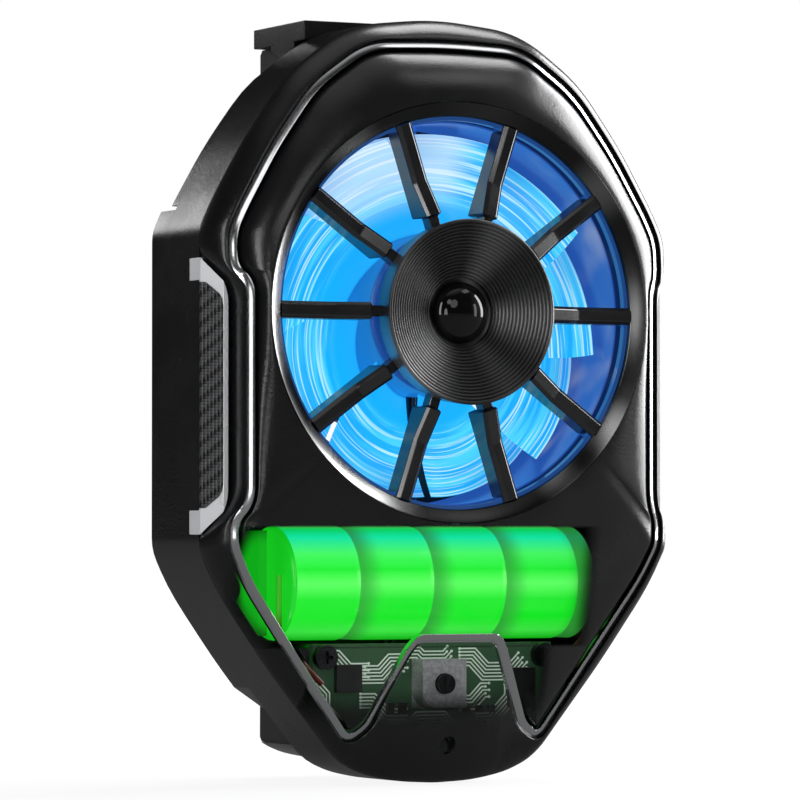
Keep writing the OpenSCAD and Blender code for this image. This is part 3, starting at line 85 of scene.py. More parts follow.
# Studio: a white background for the camera, soft boxes to both sides and above, and a pale floor
# that keeps the object's shadow. Glossy surfaces see a dim sweep that brightens right and up, so
# that the blacks stay black.
def nodes_of(holder):
    """The cleared node tree of a material or world, as its nodes and a function that links."""
    holder.use_nodes = True
    tree = holder.node_tree
    tree.nodes.clear()
    return tree.nodes, tree.links.new


def math_node(made, link, operation, a, b=None, c=None):
    """A Math node over sockets or numbers; its result socket."""
    node = made.new("ShaderNodeMath")
    node.operation = operation
    for k, value in enumerate((a, b, c)):
        if value is None:
            continue
        if isinstance(value, (int, float)):
            node.inputs[k].default_value = value
        else:
            link(value, node.inputs[k])
    return node.outputs[0]


def ramp(made, link, value, low, high, start=0.0, end=1.0, smooth=True):
    """value carried from low..high to start..end, held at both ends."""
    node = made.new("ShaderNodeMapRange")
    if smooth:
        node.interpolation_type = "SMOOTHSTEP"
    for key, number in (("From Min", low), ("From Max", high), ("To Min", start), ("To Max", end)):
        node.inputs[key].default_value = number
    link(value, node.inputs["Value"])
    return node.outputs["Result"]


def between(made, link, share, a, b):
    """Shader a carried to shader b by share; its result socket."""
    mix = made.new("ShaderNodeMixShader")
    for k, socket in enumerate((share, a, b)):
        link(socket, mix.inputs[k])
    return mix.outputs[0]


studio = bpy.data.worlds.new("studio")
scene.world = studio
made, link = nodes_of(studio)
ray = made.new("ShaderNodeLightPath")
behind = made.new("ShaderNodeTexCoord")
split = made.new("ShaderNodeSeparateXYZ")
link(behind.outputs["Generated"], split.inputs[0])
sweep = math_node(made, link, "MAXIMUM", ramp(made, link, split.outputs["X"], 0.5, 0.95, 0.02, 0.3),
                  ramp(made, link, split.outputs["Z"], 0.72, 0.98, 0.02, 0.6))
soft_light = made.new("ShaderNodeBackground")
soft_light.inputs["Color"].default_value = (0.9, 0.93, 1.0, 1)
soft_light.inputs["Strength"].default_value = 0.32
mirrored = made.new("ShaderNodeBackground")
link(sweep, mirrored.inputs["Color"])
white = made.new("ShaderNodeBackground")
white.inputs["Color"].default_value = (1, 1, 1, 1)
shiny = math_node(made, link, "MAXIMUM", ray.outputs["Is Glossy Ray"],
                  ray.outputs["Is Transmission Ray"])
around_it = between(made, link, shiny, soft_light.outputs[0], mirrored.outputs[0])
link(between(made, link, ray.outputs["Is Camera Ray"], around_it, white.outputs[0]),
     made.new("ShaderNodeOutputWorld").inputs[0])


def soft_box(name, place, target, wide, high, radiance, shape="RECTANGLE"):
    """A soft lamp at place, in metres, turned to face target and equally bright all over."""
    lamp = bpy.data.lights.new(name, "AREA")
    lamp.shape = shape
    lamp.size = wide
    lamp.size_y = high
    ellipse_share = 0.785 if shape == "ELLIPSE" else 1.0
    lamp.energy = radiance * math.pi * wide * high * ellipse_share
    obj = bpy.data.objects.new(name, lamp)
    obj.location = place
    away = Vector(place) - Vector(target)
    obj.rotation_euler = away.to_track_quat("Z", "Y").to_euler()
    scene.collection.objects.link(obj)
    return obj


middle = (0, -0.015, 0)
soft_box("left_strip", (-0.54, -0.26, 0.12), middle, 0.12, 0.46, 6.0)
soft_box("upper_left", (-0.235, -0.48, 0.32), middle, 0.15, 0.15, 2.2, "ELLIPSE")
soft_box("right_box", (0.60, 0.02, 0.14), middle, 0.62, 0.58, 11.0)
soft_box("top_box", (0.25, 0.10, 0.53), middle, 0.30, 0.22, 7.0)
soft_box("top_front", (0.27, -0.27, 0.49), middle, 0.20, 0.12, 1.8)
soft_box("front_disc", (-0.12, -0.72, 0.32), middle, 0.30, 0.30, 1.6, "ELLIPSE")
soft_box("ring_strip", (-0.385, -0.525, -0.02), middle, 0.15, 0.34, 3.6, "ELLIPSE")
soft_box("spoke_strip", (0.47, -0.44, 0.03), middle, 0.08, 0.36, 3.0)
soft_box("rear_lamp", (-0.19, 0.52, 0.20), middle, 0.20, 0.12, 4.5)

floor_z = cad_box[0][2] - 0.0002
sheet = bpy.data.meshes.new("floor")
half = 3.0
sheet.from_pydata([(-half, -half, floor_z), (half, -half, floor_z), (half, half, floor_z),
                   (-half, half, floor_z)], [], [(0, 1, 2, 3)])
floor = bpy.data.objects.new("floor", sheet)
scene.collection.objects.link(floor)
paper = bpy.data.materials.new("pale_paper")
made, link = nodes_of(paper)
ray = made.new("ShaderNodeLightPath")
seen = math_node(made, link, "MAXIMUM", ray.outputs["Is Camera Ray"],
                 ray.outputs["Is Transmission Ray"])
away = made.new("ShaderNodeVectorMath")
away.operation = "LENGTH"
link(made.new("ShaderNodeTexCoord").outputs["Object"], away.inputs[0])
share = math_node(made, link, "MULTIPLY", seen,
                  ramp(made, link, away.outputs["Value"], 0.10, 0.32, 0.8, 1.0))
faint = math_node(made, link, "MULTIPLY", ray.outputs["Is Glossy Ray"], 0.85)
weight = math_node(made, link, "MAXIMUM", share, faint)
lit = made.new("ShaderNodeBsdfDiffuse")
lit.inputs["Color"].default_value = (0.42, 0.42, 0.42, 1)
glow = made.new("ShaderNodeEmission")
link(math_node(made, link, "MULTIPLY_ADD", seen, 0.98, 0.14), glow.inputs["Strength"])
link(between(made, link, weight, lit.outputs[0], glow.outputs[0]),
     made.new("ShaderNodeOutputMaterial").inputs[0])
sheet.materials.append(paper)

# Front bezel: the outer front moulding, satin black plastic with a fine spark-eroded grain. Its
# edge rolls over to the side walls, and its tongue carries the button and the indicator hole.
body_w, body_top, body_low = 31.75, 48.2, -45.6
rim, ring_out, fan_up = 15.5, 23.0, 11.8
waist = (13.8, -10.6, 5.0, 3.0)
shoulder = np.array([[20.25, 1.2], [12.05, 7], [6.25, 14.9], [1.75, 22.7], [0, 26.4]])
foot = np.array([[0, 28.5], [2.35, 23.5], [8.75, 14.5], [18.35, 2.8], [21.9, 1.2], [25.25, 0.5],
                 [27.6, 0.2]])
shoulder = np.array([body_w, body_top]) + shoulder * [-1, -1]
foot = np.array([body_w, body_low]) + foot * [-1, 1]
notch_half = np.vstack([[[0, body_top]], shoulder, [[body_w, waist[0] + waist[2]],
                        [body_w - waist[3], waist[0]], [body_w - waist[3], waist[1]],
                        [body_w, waist[1] - waist[2]]], foot, [[0, body_low]]])
notch_cuts = [4, 4, 3.5, 3.5, 1.8, 1.2, 0.8, 2, 2, 0.6, 0.5, 3.5, 3.5, 2.2, 1.5, 1.2, 1, 1]
full_half = np.vstack([[[0, body_top]], shoulder, foot, [[0, body_low]]])


def mitred(points, inset):
    """Each inner corner moved in along its mitre, so that both its sides move in by inset."""
    before, corner, after = points[:-2], points[1:-1], points[2:]
    first = (corner - before) / np.linalg.norm(corner - before, axis=1)[:, None]
    second = (after - corner) / np.linalg.norm(after - corner, axis=1)[:, None]
    n1 = np.stack([first[:, 1], -first[:, 0]], 1)
    n2 = np.stack([second[:, 1], -second[:, 0]], 1)
    m = (n1 + n2) / np.linalg.norm(n1 + n2, axis=1)[:, None]
    return corner + m * (inset / np.sum(m * n1, 1))[:, None]


trim_in, trim_waist_in = 2.65, 4.15
inner = mitred(full_half, trim_in)
trim_half = np.vstack([
    [[0, body_top - trim_in - 0.7]], inner[:5],
    [[body_w - trim_in + 0.1, waist[0] + 3.1], [body_w - trim_waist_in, waist[0] + 1.1],
     [body_w - trim_waist_in, waist[1] - 0.6], [body_w - trim_in + 0.1, waist[1] - 3.1]],
    inner[5:8],
    [[13.1, body_low + 5.3], [10.6, body_low + 7.1], [6.3, -29.1], [5.3, -27.8], [0, -27.8]]])
trim_drop = np.array([4.2, 4.2, 4.2, 3.9, 3.6, 3.6, 3.4, 1.7, 1.7, 3.1, 3.1, 3.7, 4.4, 5, 4.4,
                      1.3, 0.8, 0.8])
trim_cuts = [4, 3, 3, 3, 1.6, 1.6, 2, 2, 2, 2, 0.9, 3, 3, 1.6, 1.1, 0.7, 0.7, 1]


def rounded_loop(half, cuts, arc=9, straight=9):
    """A half path and its mirror image as one loop: each corner is a quadratic curve that leaves
    its sides at its cut, and the straights between them are divided evenly."""
    other = half[-2:0:-1].copy()
    other[:, 0] *= -1
    p = np.vstack([half, other])
    cut = np.concatenate([cuts, cuts[-2:0:-1]])
    back, ahead = np.roll(p, 1, 0) - p, np.roll(p, -1, 0) - p
    lb, la = np.linalg.norm(back, axis=1), np.linalg.norm(ahead, axis=1)
    a = p + back / lb[:, None] * np.minimum(cut, 0.45 * lb)[:, None]
    b = p + ahead / la[:, None] * np.minimum(cut, 0.45 * la)[:, None]
    s = np.linspace(0, 1, arc)[None, :, None]
    curve = (1 - s) ** 2 * a[:, None] + 2 * s * (1 - s) * p[:, None] + s ** 2 * b[:, None]
    s = (np.arange(1, straight + 1) / (straight + 1))[None, :, None]
    line = b[:, None] + (np.roll(a, -1, 0) - b)[:, None] * s
    return np.concatenate([curve, line], 1).reshape(-1, p.shape[1])


def shifted(loop, d):
    """The loop moved in its plane by d, inwards where d is positive."""
    t = np.roll(loop, -1, 0) - np.roll(loop, 1, 0)
    n = np.stack([t[:, 1], -t[:, 0]], 1)
    n /= np.linalg.norm(n, axis=1)[:, None]
    out = loop.copy()
    out[:, :2] += n * d
    return out


def raised(loop, h):
    """The loop with h added to its distance out."""
    out = loop.copy()
    out[:, 2] += h
    return out


def swell(u):
    """The rise of a rolled edge: one minus (1 - u) to the power 1.5, to the power 1 / 1.5."""
    return (1 - (1 - u) ** 1.5) ** (1 / 1.5)


def crowned(a, b, shares):
    """Rows that cross evenly in plan from loop a to loop b, and rise between them by swell."""
    u = np.asarray(shares)[:, None, None]
    rows = a[None] + (b - a)[None] * u
    rows[:, :, 2] = a[None, :, 2] + (b - a)[None, :, 2] * swell(u[:, :, 0])
    return rows


def upright(points):
    """Bench millimetres (x, up, out) as row-frame metres (x, -out, up)."""
    p = np.asarray(points, float)
    return np.stack([p[..., 0], -p[..., 2], p[..., 1]], -1) * 0.001


def skins(name, grids, angle=35):
    """One mesh from several grids of points, each given as (rows, around, close): closed along
    each row where around is set, and from the last row to the first where close is set."""
    points, faces, offset = [], [], 0
    for rows, around, close in grids:
        rows = np.asarray(rows, float)
        r, n = rows.shape[:2]
        i = np.arange(r if close else r - 1)[:, None]
        j = np.arange(n if around else n - 1)[None, :]
        quads = np.stack(np.broadcast_arrays(i * n + j, i * n + (j + 1) % n,
                         (i + 1) % r * n + (j + 1) % n, (i + 1) % r * n + j), -1)
        points.append(rows.reshape(-1, 3))
        faces.append(quads.reshape(-1, 4) + offset)
        offset += r * n
    return shell(name, upright(np.concatenate(points)), np.concatenate(faces), angle)


def skin(name, rows, around=True, close=True, angle=35):
    """A mesh through one grid of points."""
    return skins(name, [(rows, around, close)], angle)


def spun(profile, steps=144, centre=None):
    """A closed profile of (radius, out) turned about the fan's axis, as a grid of points."""
    profile = np.asarray(profile, float)
    turn = np.linspace(0, 2 * math.pi, steps, endpoint=False)
    r = profile[:, 0][:, None]
    up = fan_up if centre is None else centre
    return np.stack([r * np.cos(turn), up + r * np.sin(turn),
                     profile[:, 1][:, None] + 0 * r * turn], -1)


def shell(name, points, faces, angle=35):
    """A linked object from points in metres and its faces: doubles merged, normals outwards,
    smooth up to the given angle."""
    mesh = bpy.data.meshes.new(name)
    mesh.from_pydata(np.asarray(points).tolist(), [], np.asarray(faces).tolist()
                     if isinstance(faces, np.ndarray) else faces)
    bm = bmesh.new()
    bm.from_mesh(mesh)
    bmesh.ops.remove_doubles(bm, verts=bm.verts, dist=1e-6)
    bmesh.ops.dissolve_degenerate(bm, dist=1e-7, edges=bm.edges)
    bmesh.ops.recalc_face_normals(bm, faces=bm.faces)
    bm.to_mesh(mesh)
    bm.free()
    mesh.shade_smooth()
    mesh.set_sharp_from_angle(angle=math.radians(angle))
    obj = bpy.data.objects.new(name, mesh)
    scene.collection.objects.link(obj)
    return obj


def dressed(obj, material, body, slot, *nodes):
    """The piece with its material, riding on its body and standing for the nodes it replaces."""
    obj.data.materials.clear()
    obj.data.materials.append(material)
    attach(obj, body)
    if nodes:
        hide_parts(*nodes)
    return obj


def cut_by(obj, cutter):
    """obj with the closed mesh cutter taken out of it, and cutter deleted."""
    cut = obj.modifiers.new("cut", "BOOLEAN")
    cut.operation = "DIFFERENCE"
    cut.solver = "EXACT"
    cut.object = cutter
    bpy.context.view_layer.update()
    done = bpy.data.meshes.new_from_object(obj.evaluated_get(bpy.context.evaluated_depsgraph_get()))
    obj.modifiers.clear()
    obj.data = done
    bpy.data.objects.remove(cutter)
    obj.data.shade_smooth()
    obj.data.set_sharp_from_angle(angle=math.radians(35))
    return obj


def prism(name, outline, low, high):
    """A closed prism over an outline given as points (x, up), from low to high out."""
    plan = np.asarray(outline, float)
    base = np.column_stack([plan, np.full(len(plan), low)])
    top = np.column_stack([plan, np.full(len(plan), high)])
    n = len(plan)
    i = np.arange(n)
    sides = np.stack([i, (i + 1) % n, n + (i + 1) % n, n + i], 1).tolist()
    faces = sides + [list(range(n))[::-1], list(range(n, 2 * n))]
    return shell(name, upright(np.vstack([base, top])), faces)


def round_box(w, l, r, steps=12):
    """The outline of a w by l rectangle with corners of radius r, about the origin."""
    a = np.linspace(0, math.pi / 2, steps)
    turns = (np.arange(4) * math.pi / 2)[:, None] + a[None]
    cx = np.array([1, -1, -1, 1]) * (w / 2 - r)
    cy = np.array([1, 1, -1, -1]) * (l / 2 - r)
    x = cx[:, None] + r * np.cos(turns)
    y = cy[:, None] + r * np.sin(turns)
    return np.stack([x.ravel(), y.ravel()], 1)


def principled(name, colour, rough, metal=0.0, specular=0.5):
    """A new material with one Principled shader, and a function that adds a linked node."""
    mat = bpy.data.materials.new(name)
    made, link = nodes_of(mat)
    out = made.new("ShaderNodeOutputMaterial")
    shader = made.new("ShaderNodeBsdfPrincipled")
    shader.inputs["Base Color"].default_value = (*colour, 1)
    shader.inputs["Roughness"].default_value = rough
    shader.inputs["Metallic"].default_value = metal
    shader.inputs["Specular IOR Level"].default_value = specular
    link(shader.outputs[0], out.inputs[0])
    return mat, made, link, shader, out


def grain(made, link, shader, scale, depth, rough=None, spread=0.06, detail=3.0):
    """A moulded grain on Object coordinates: a fine noise as bump, and a broader one that varies
    the roughness by spread."""
    where = made.new("ShaderNodeTexCoord").outputs["Object"]
    fine = made.new("ShaderNodeTexNoise")
    fine.inputs["Scale"].default_value = scale
    fine.inputs["Detail"].default_value = detail
    link(where, fine.inputs["Vector"])
    bump = made.new("ShaderNodeBump")
    bump.inputs["Strength"].default_value = 1.0
    bump.inputs["Distance"].default_value = depth
    link(fine.outputs["Fac"], bump.inputs["Height"])
    link(bump.outputs["Normal"], shader.inputs["Normal"])
    if rough is not None:
        broad = made.new("ShaderNodeTexNoise")
        broad.inputs["Scale"].default_value = scale / 22
        link(where, broad.inputs["Vector"])
        link(ramp(made, link, broad.outputs["Fac"], 0.3, 0.7, rough - spread, rough + spread),
             shader.inputs["Roughness"])
    return where, fine, bump


def object_xyz(made, link):
    """The Object coordinates as separate sockets."""
    split = made.new("ShaderNodeSeparateXYZ")
    link(made.new("ShaderNodeTexCoord").outputs["Object"], split.inputs[0])
    return split.outputs


def window_mask(made, link):
    """1 where the front is left clear, from Object x and z: a band over the round cell and a
    lower field over the circuit board, both with soft edges."""
    x, y, z = object_xyz(made, link)

    def band(value, a, b, c, d):
        return math_node(made, link, "MULTIPLY", ramp(made, link, value, a, b),
                         ramp(made, link, value, c, d, 1.0, 0.0))
    cell = math_node(made, link, "MULTIPLY", band(x, -0.0297, -0.0270, 0.0170, 0.0202),
                     band(z, -0.0292, -0.0286, -0.0145, -0.0139))
    corner = math_node(made, link, "ADD", math_node(made, link, "MULTIPLY", x, 0.776),
                       math_node(made, link, "MULTIPLY", z, 0.63))
    cell = math_node(made, link, "MULTIPLY", cell, ramp(made, link, corner, -0.0385, -0.0350))
    board = math_node(made, link, "MULTIPLY", band(x, -0.0192, -0.0185, 0.0118, 0.0142),
                      band(z, -0.0392, -0.0335, -0.0290, -0.0286))
    return math_node(made, link, "MAXIMUM", cell, board)


def shell_black(name, see_through=False, rough=0.25, depth=2e-5, specular=0.5):
    """Satin black plastic with a fine leathery grain, clear in the window where see_through."""
    mat, made, link, shader, out = principled(name, (0.0055, 0.0056, 0.006), rough,
                                              specular=specular)
    grain(made, link, shader, 3100, depth, rough, spread=0.03)
    if see_through:
        clear = made.new("ShaderNodeBsdfTransparent")
        link(between(made, link, window_mask(made, link), shader.outputs[0], clear.outputs[0]),
             out.inputs[0])
    return mat


black_front = shell_black("satin_black_front", see_through=True)
black_shell = shell_black("satin_black_shell", specular=0.4)

notch_loop = rounded_loop(np.column_stack([notch_half, np.full(len(notch_half), rim)]), notch_cuts)
trim_loop = rounded_loop(np.column_stack([trim_half, ring_out - trim_drop]), trim_cuts)
bezel_lip = shifted(trim_loop, -0.6)
skin_t = 1.3
reach = np.linalg.norm((bezel_lip - notch_loop)[:, :2], axis=1)
wall_share = np.minimum(1.4 / reach, 0.6)[:, None]
over = (np.arange(1, 25) / 24.5) ** 1.8
back_shares = 1 + (wall_share - 1) * np.linspace(0, 1, 6)[None]
under = np.stack([notch_loop + (bezel_lip - notch_loop) * back_shares[:, k:k + 1]
                  for k in range(6)])
under[:, :, 2] = (notch_loop[None, :, 2] + (bezel_lip - notch_loop)[None, :, 2]
                  * swell(back_shares.T)) - skin_t
inner_foot = under[-1].copy()
inner_foot[:, 2] = rim
bezel = skin("bezel_moulding", np.concatenate([
    [shifted(notch_loop, 0.12)], crowned(notch_loop, bezel_lip, over),
    [raised(bezel_lip, -0.08)], [raised(bezel_lip, -0.6)], under, [inner_foot]]))
button_w, button_l, button_up, button_r, button_gap = 9.2, 6.6, -32.9, 2.8, 0.15
hole = round_box(button_w + 2 * button_gap, button_l + 2 * button_gap, button_r + button_gap)
cut_by(bezel, prism("button_hole", hole + [0, button_up], rim - 1, ring_out + 1))
angles = np.linspace(0, 2 * math.pi, 48, endpoint=False)
pin_r, pin_up = 1.1, -40.9
pin = pin_r * np.stack([np.cos(angles), np.sin(angles)], 1) + [0, pin_up]
cut_by(bezel, prism("indicator_hole", pin, rim - 1, ring_out))
dressed(bezel, black_front, "casing", "black_shell", "front_bezel")

# Plated trim: one thin polished strip sunk in the groove between bezel and panel, its face one
# flat bevel that falls outwards, snapped in from the front.
trim_section = [(-0.55, -1.0), (-0.55, -0.46), (-0.50, -0.38), (0.40, 0.13), (0.48, 0.15),
                (0.53, 0.11), (0.55, 0.03), (0.55, -1.0)]
trim = skin("trim_plating", [raised(shifted(trim_loop, d), h) for d, h in trim_section], angle=30)


def plated(name, colour, rough=0.16):
    """Bright plating: smooth metal with a faint cloudiness in its gloss."""
    mat, made, link, shader, out = principled(name, colour, rough, metal=1.0)
    grain(made, link, shader, 1500, 1.5e-6, rough, spread=0.03)
    return mat


dressed(trim, plated("polished_plating", (0.62, 0.625, 0.64)), "casing", "plated_trim",
        "trim_strip")

# Front panel: the inner moulding, which rises from the trim to the fan's ring in one crowned
# sweep. Over the cell and the board it is left clear, as in the photo's cut-away view.
panel_bore = 25.73
panel_edge = shifted(trim_loop, 1.0)
spoke_way = panel_edge[:, :2] - [0, fan_up]
ring_loop = np.column_stack([
    [0, fan_up] + panel_bore * spoke_way / np.linalg.norm(spoke_way, axis=1)[:, None],
    np.full(len(panel_edge), ring_out)])
shares = np.concatenate([[0.0], (np.arange(1, 29) / 28) ** 1.7])
outside = crowned(panel_edge, ring_loop, shares)
inside = crowned(panel_edge, ring_loop, shares[::4])[::-1]
inside[:, :, 2] -= skin_t
panel = skin("panel_moulding", np.concatenate([outside, inside]))
dressed(panel, black_front, "casing", "black_shell", "front_panel")

# Waist: carbon-look grip pads pressed in beside bright plated accents, one pair on each side.
def joined_copy(name, node, whole_faces=False):
    """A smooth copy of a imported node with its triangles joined, into whole faces where asked."""
    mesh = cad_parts[node].data.copy()
    bm = bmesh.new()
    bm.from_mesh(mesh)
    bmesh.ops.remove_doubles(bm, verts=bm.verts, dist=2e-6)
    if whole_faces:
        bmesh.ops.dissolve_limit(bm, angle_limit=math.radians(0.6), verts=bm.verts,
                                 edges=bm.edges)
    bm.to_mesh(mesh)
    bm.free()
    mesh.shade_smooth()
    obj = bpy.data.objects.new(name, mesh)
    scene.collection.objects.link(obj)
    return obj


def softened(name, node, width, segments=2, angle=32):
    """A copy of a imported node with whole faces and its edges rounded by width, in mm."""
    obj = joined_copy(name, node, whole_faces=True)
    edge = obj.modifiers.new("round_edges", "BEVEL")
    edge.width = width * 0.001
    edge.segments = segments
    edge.limit_method = "ANGLE"
    edge.angle_limit = math.radians(angle)
    flat = obj.modifiers.new("flat_faces", "WEIGHTED_NORMAL")
    flat.weight = 100
    flat.keep_sharp = False
    return obj


twill, made, link, shader, out = principled("twill_grip", (0.02, 0.02, 0.022), 0.3)
x, y, z = object_xyz(made, link)
across = math_node(made, link, "MULTIPLY", y, -1240 / 0.5)
up = math_node(made, link, "MULTIPLY", z, 1000 / 0.36)
column = math_node(made, link, "FLOOR", across)
row = math_node(made, link, "FLOOR", up)
step = math_node(made, link, "FLOORED_MODULO", math_node(made, link, "SUBTRACT", row, column), 5)
over_warp = math_node(made, link, "LESS_THAN", step, 2.5)
round_up = math_node(made, link, "SINE", math_node(made, link, "MULTIPLY",
                     math_node(made, link, "FRACT", up), math.pi))
round_across = math_node(made, link, "SINE", math_node(made, link, "MULTIPLY",
                         math_node(made, link, "FRACT", across), math.pi))
tone = made.new("ShaderNodeMix")
tone.data_type = "RGBA"
tone.inputs["A"].default_value = (0.004, 0.004, 0.0042, 1)
tone.inputs["B"].default_value = (0.048, 0.0485, 0.05, 1)
link(over_warp, tone.inputs["Factor"])
link(tone.outputs["Result"], shader.inputs["Base Color"])
bump = made.new("ShaderNodeBump")
bump.inputs["Distance"].default_value = 4e-5
link(math_node(made, link, "ADD", over_warp, math_node(made, link, "MULTIPLY", round_up,
               round_across)), bump.inputs["Height"])
link(bump.outputs["Normal"], shader.inputs["Normal"])
accent_plating = principled("accent_plating", (0.88, 0.88, 0.89), 0.28, metal=0.35)[0]
made, link = accent_plating.node_tree.nodes, accent_plating.node_tree.links.new
grain(made, link, made["Principled BSDF"], 1500, 1e-6, 0.28, spread=0.05)
for side in ("left", "right"):
    dressed(softened(side + "_grip_insert", side + "_grip_pad", 0.12), twill, "casing",
            "twill_grip", side + "_grip_pad")
    dressed(softened(side + "_accent_plating", side + "_accent", 0.06), accent_plating, "casing",
            "plated_accent", side + "_accent")

# Fan ring: a turned satin ring let into the panel, its front a cone that falls towards the fan,
# with the edges just broken. Its sheen is a painted highlight: lobes of lighter base colour by the
# direction round the fan.
def fan_polar(made, link):
    """Radius in metres, and the unit direction, of a point about the fan's axis."""
    x, y, height = object_xyz(made, link)
    z = math_node(made, link, "SUBTRACT", height, fan_up * 0.001)
    r = math_node(made, link, "SQRT", math_node(made, link, "ADD",
                  math_node(made, link, "MULTIPLY", x, x), math_node(made, link, "MULTIPLY", z, z)))
    return r, math_node(made, link, "DIVIDE", x, r), math_node(made, link, "DIVIDE", z, r), x, z


def blended(made, link, share, a, b):
    """Colour a carried to colour b by share; either may be a socket."""
    mix = made.new("ShaderNodeMix")
    mix.data_type = "RGBA"
    for key, colour in (("A", a), ("B", b)):
        if isinstance(colour, tuple):
            mix.inputs[key].default_value = (*colour, 1)
        else:
            link(colour, mix.inputs[key])
    link(share, mix.inputs["Factor"])
    return mix.outputs["Result"]


def painted_sheen_lobes(made, link, least, lobes):
    """Painted highlight of a turned face: base-colour lightness least, raised in painted lobes of
    (direction, half width, most), with the direction in degrees clockwise from the top of the fan."""
    r, cx, cz, x, z = fan_polar(made, link)
    around = math_node(made, link, "ARCTAN2", x, z)
    light = least
    for way, half, most in lobes:
        off = math_node(made, link, "ABSOLUTE", math_node(made, link, "SUBTRACT", around,
                        math.radians(way)))
        light = math_node(made, link, "MAXIMUM",
                          ramp(made, link, off, 0.0, math.radians(half), most, least), light)
    return light


satin_ring, made, link, shader, out = principled("satin_ring", (0.1, 0.1, 0.1), 0.26, metal=1.0)
grain(made, link, shader, 3800, 1.5e-6, 0.26, spread=0.03)
# Painted sheen: lobes of lighter base colour round the ring, in place of reflections.
painted_sheen = painted_sheen_lobes(made, link, 0.035, [(-86, 26, 0.85), (-37, 12, 0.22), (8, 20, 0.07),
                     (51, 12, 0.22), (90, 20, 0.12), (124, 11, 0.3), (146, 9, 0.24),
                     (-146, 24, 0.5)])
link(blended(made, link, painted_sheen, (0.0, 0.0, 0.0), (1.0, 1.0, 1.0)), shader.inputs["Base Color"])
ring_moulding = skin("ring_moulding", spun([
    (25.7, 22.9), (25.66, 22.98), (25.58, 23.0), (25.48, 22.96), (24.8, 22.52), (24.12, 22.08),
    (23.99, 21.97), (23.95, 21.86), (23.95, 21.45), (24.05, 21.4), (25.6, 21.4), (25.7, 21.5)]))
dressed(ring_moulding, satin_ring, "casing", "satin_ring", "fan_ring")

# Grille: ten spokes moulded with a hub plate and a hoop. Each runs level from the hoop, bends up
# towards the hub, and is necked where it meets the dish; its top edges are bevelled.
spoke_black, made, link, shader, out = principled("spoke_black", (0.008, 0.0081, 0.009), 0.3,
                                                  specular=0.9)
grain(made, link, shader, 3800, 2e-6, 0.22, spread=0.04)
r, cx, cz, x, z = fan_polar(made, link)
# Painted blue light: the inner side and back of the hoop glow, as emission, for the rotor's light
# on it.
shader.inputs["Emission Color"].default_value = (0.008, 0.055, 0.22, 1)
link(math_node(made, link, "MULTIPLY", ramp(made, link, r, 0.0231, 0.0235),
               ramp(made, link, object_xyz(made, link)["Y"], -0.0216, -0.0213)),
     shader.inputs["Emission Strength"])
top, low = 22.2, 19.0
stations = np.array([
    # radius, half width, bottom, top, bevel
    (10.0, 0.67, 20.8, 22.7, 0.1), (12.1, 0.67, 20.8, 22.7, 0.1), (12.2, 0.72, 20.8, 22.78, 0.12),
    (12.32, 0.95, 19.0, 23.1, 0.25), (12.5, 1.05, low, 23.3, 0.38), (12.8, 1.05, low, 23.22, 0.4),
    (14.6, 1.05, low, 22.72, 0.4), (16.2, 1.05, low, 22.29, 0.4), (16.5, 1.05, low, top, 0.42),
    (16.8, 1.05, low, top, 0.45), (20.0, 1.05, low, top, 0.45), (23.15, 1.05, low, top, 0.45),
    (23.2, 1.05, 19.25, top, 0.45), (23.9, 1.05, 19.25, top, 0.45)])
r, w, z0, z1, c = stations.T[:, :, None]
one = np.ones((1, 12))
side_y = w * np.array([-1, -0.96, 0.96, 1, 1, 1, 0, 0, 0, 0, -1, -1]) \
    + (w - c) * np.array([0, 0, 0, 0, 0, 0, 1, 1, -1, -1, 0, 0]) \
    + c * np.array([0, 0, 0, 0, 0, -0.1, 0.12, -0.12, 0.12, -0.12, 0.1, 0])
side_z = z0 * np.array([0, 1, 1, 0, 0, 0, 0, 0, 0, 0, 0, 0]) \
    + (z0 + 0.05) * np.array([1, 0, 0, 1, 0, 0, 0, 0, 0, 0, 0, 0]) \
    + z1 * np.array([0, 0, 0, 0, 1, 1, 1, 1, 1, 1, 1, 1]) \
    + c * np.array([0, 0, 0, 0, -1.15, -0.88, -0.1, 0, 0, -0.1, -0.88, -1.15])
spoke = np.stack([r * one, side_y, side_z], -1)
closed_in, closed_out = spoke[:1].copy(), spoke[-1:].copy()
closed_in[:, :, 1:] = closed_in[:, :, 1:].mean(1, keepdims=True)
closed_out[:, :, 1:] = closed_out[:, :, 1:].mean(1, keepdims=True)
spoke = np.concatenate([closed_in, spoke, closed_out])
grids = []
spokes = 10
for k in range(spokes):
    a = math.radians(360 / spokes * k)
    turned = spoke.copy()
    turned[:, :, 0] = spoke[:, :, 0] * math.cos(a) - spoke[:, :, 1] * math.sin(a)
    turned[:, :, 1] = spoke[:, :, 0] * math.sin(a) + spoke[:, :, 1] * math.cos(a) + fan_up
    grids.append((turned, True, False))
grids.append((spun([(25.6, 20.45), (25.6, 21.35), (23.5, 21.35), (23.5, 20.45)]), True, True))
grids.append((spun([(0.001, 20.8), (10.2, 20.8), (10.3, 20.9), (10.3, 21.5), (10.2, 21.6),
                    (0.001, 21.6)]), True, True))
dressed(skins("grille_moulding", grids, 20), spoke_black, "casing", "grille_black", "grille")

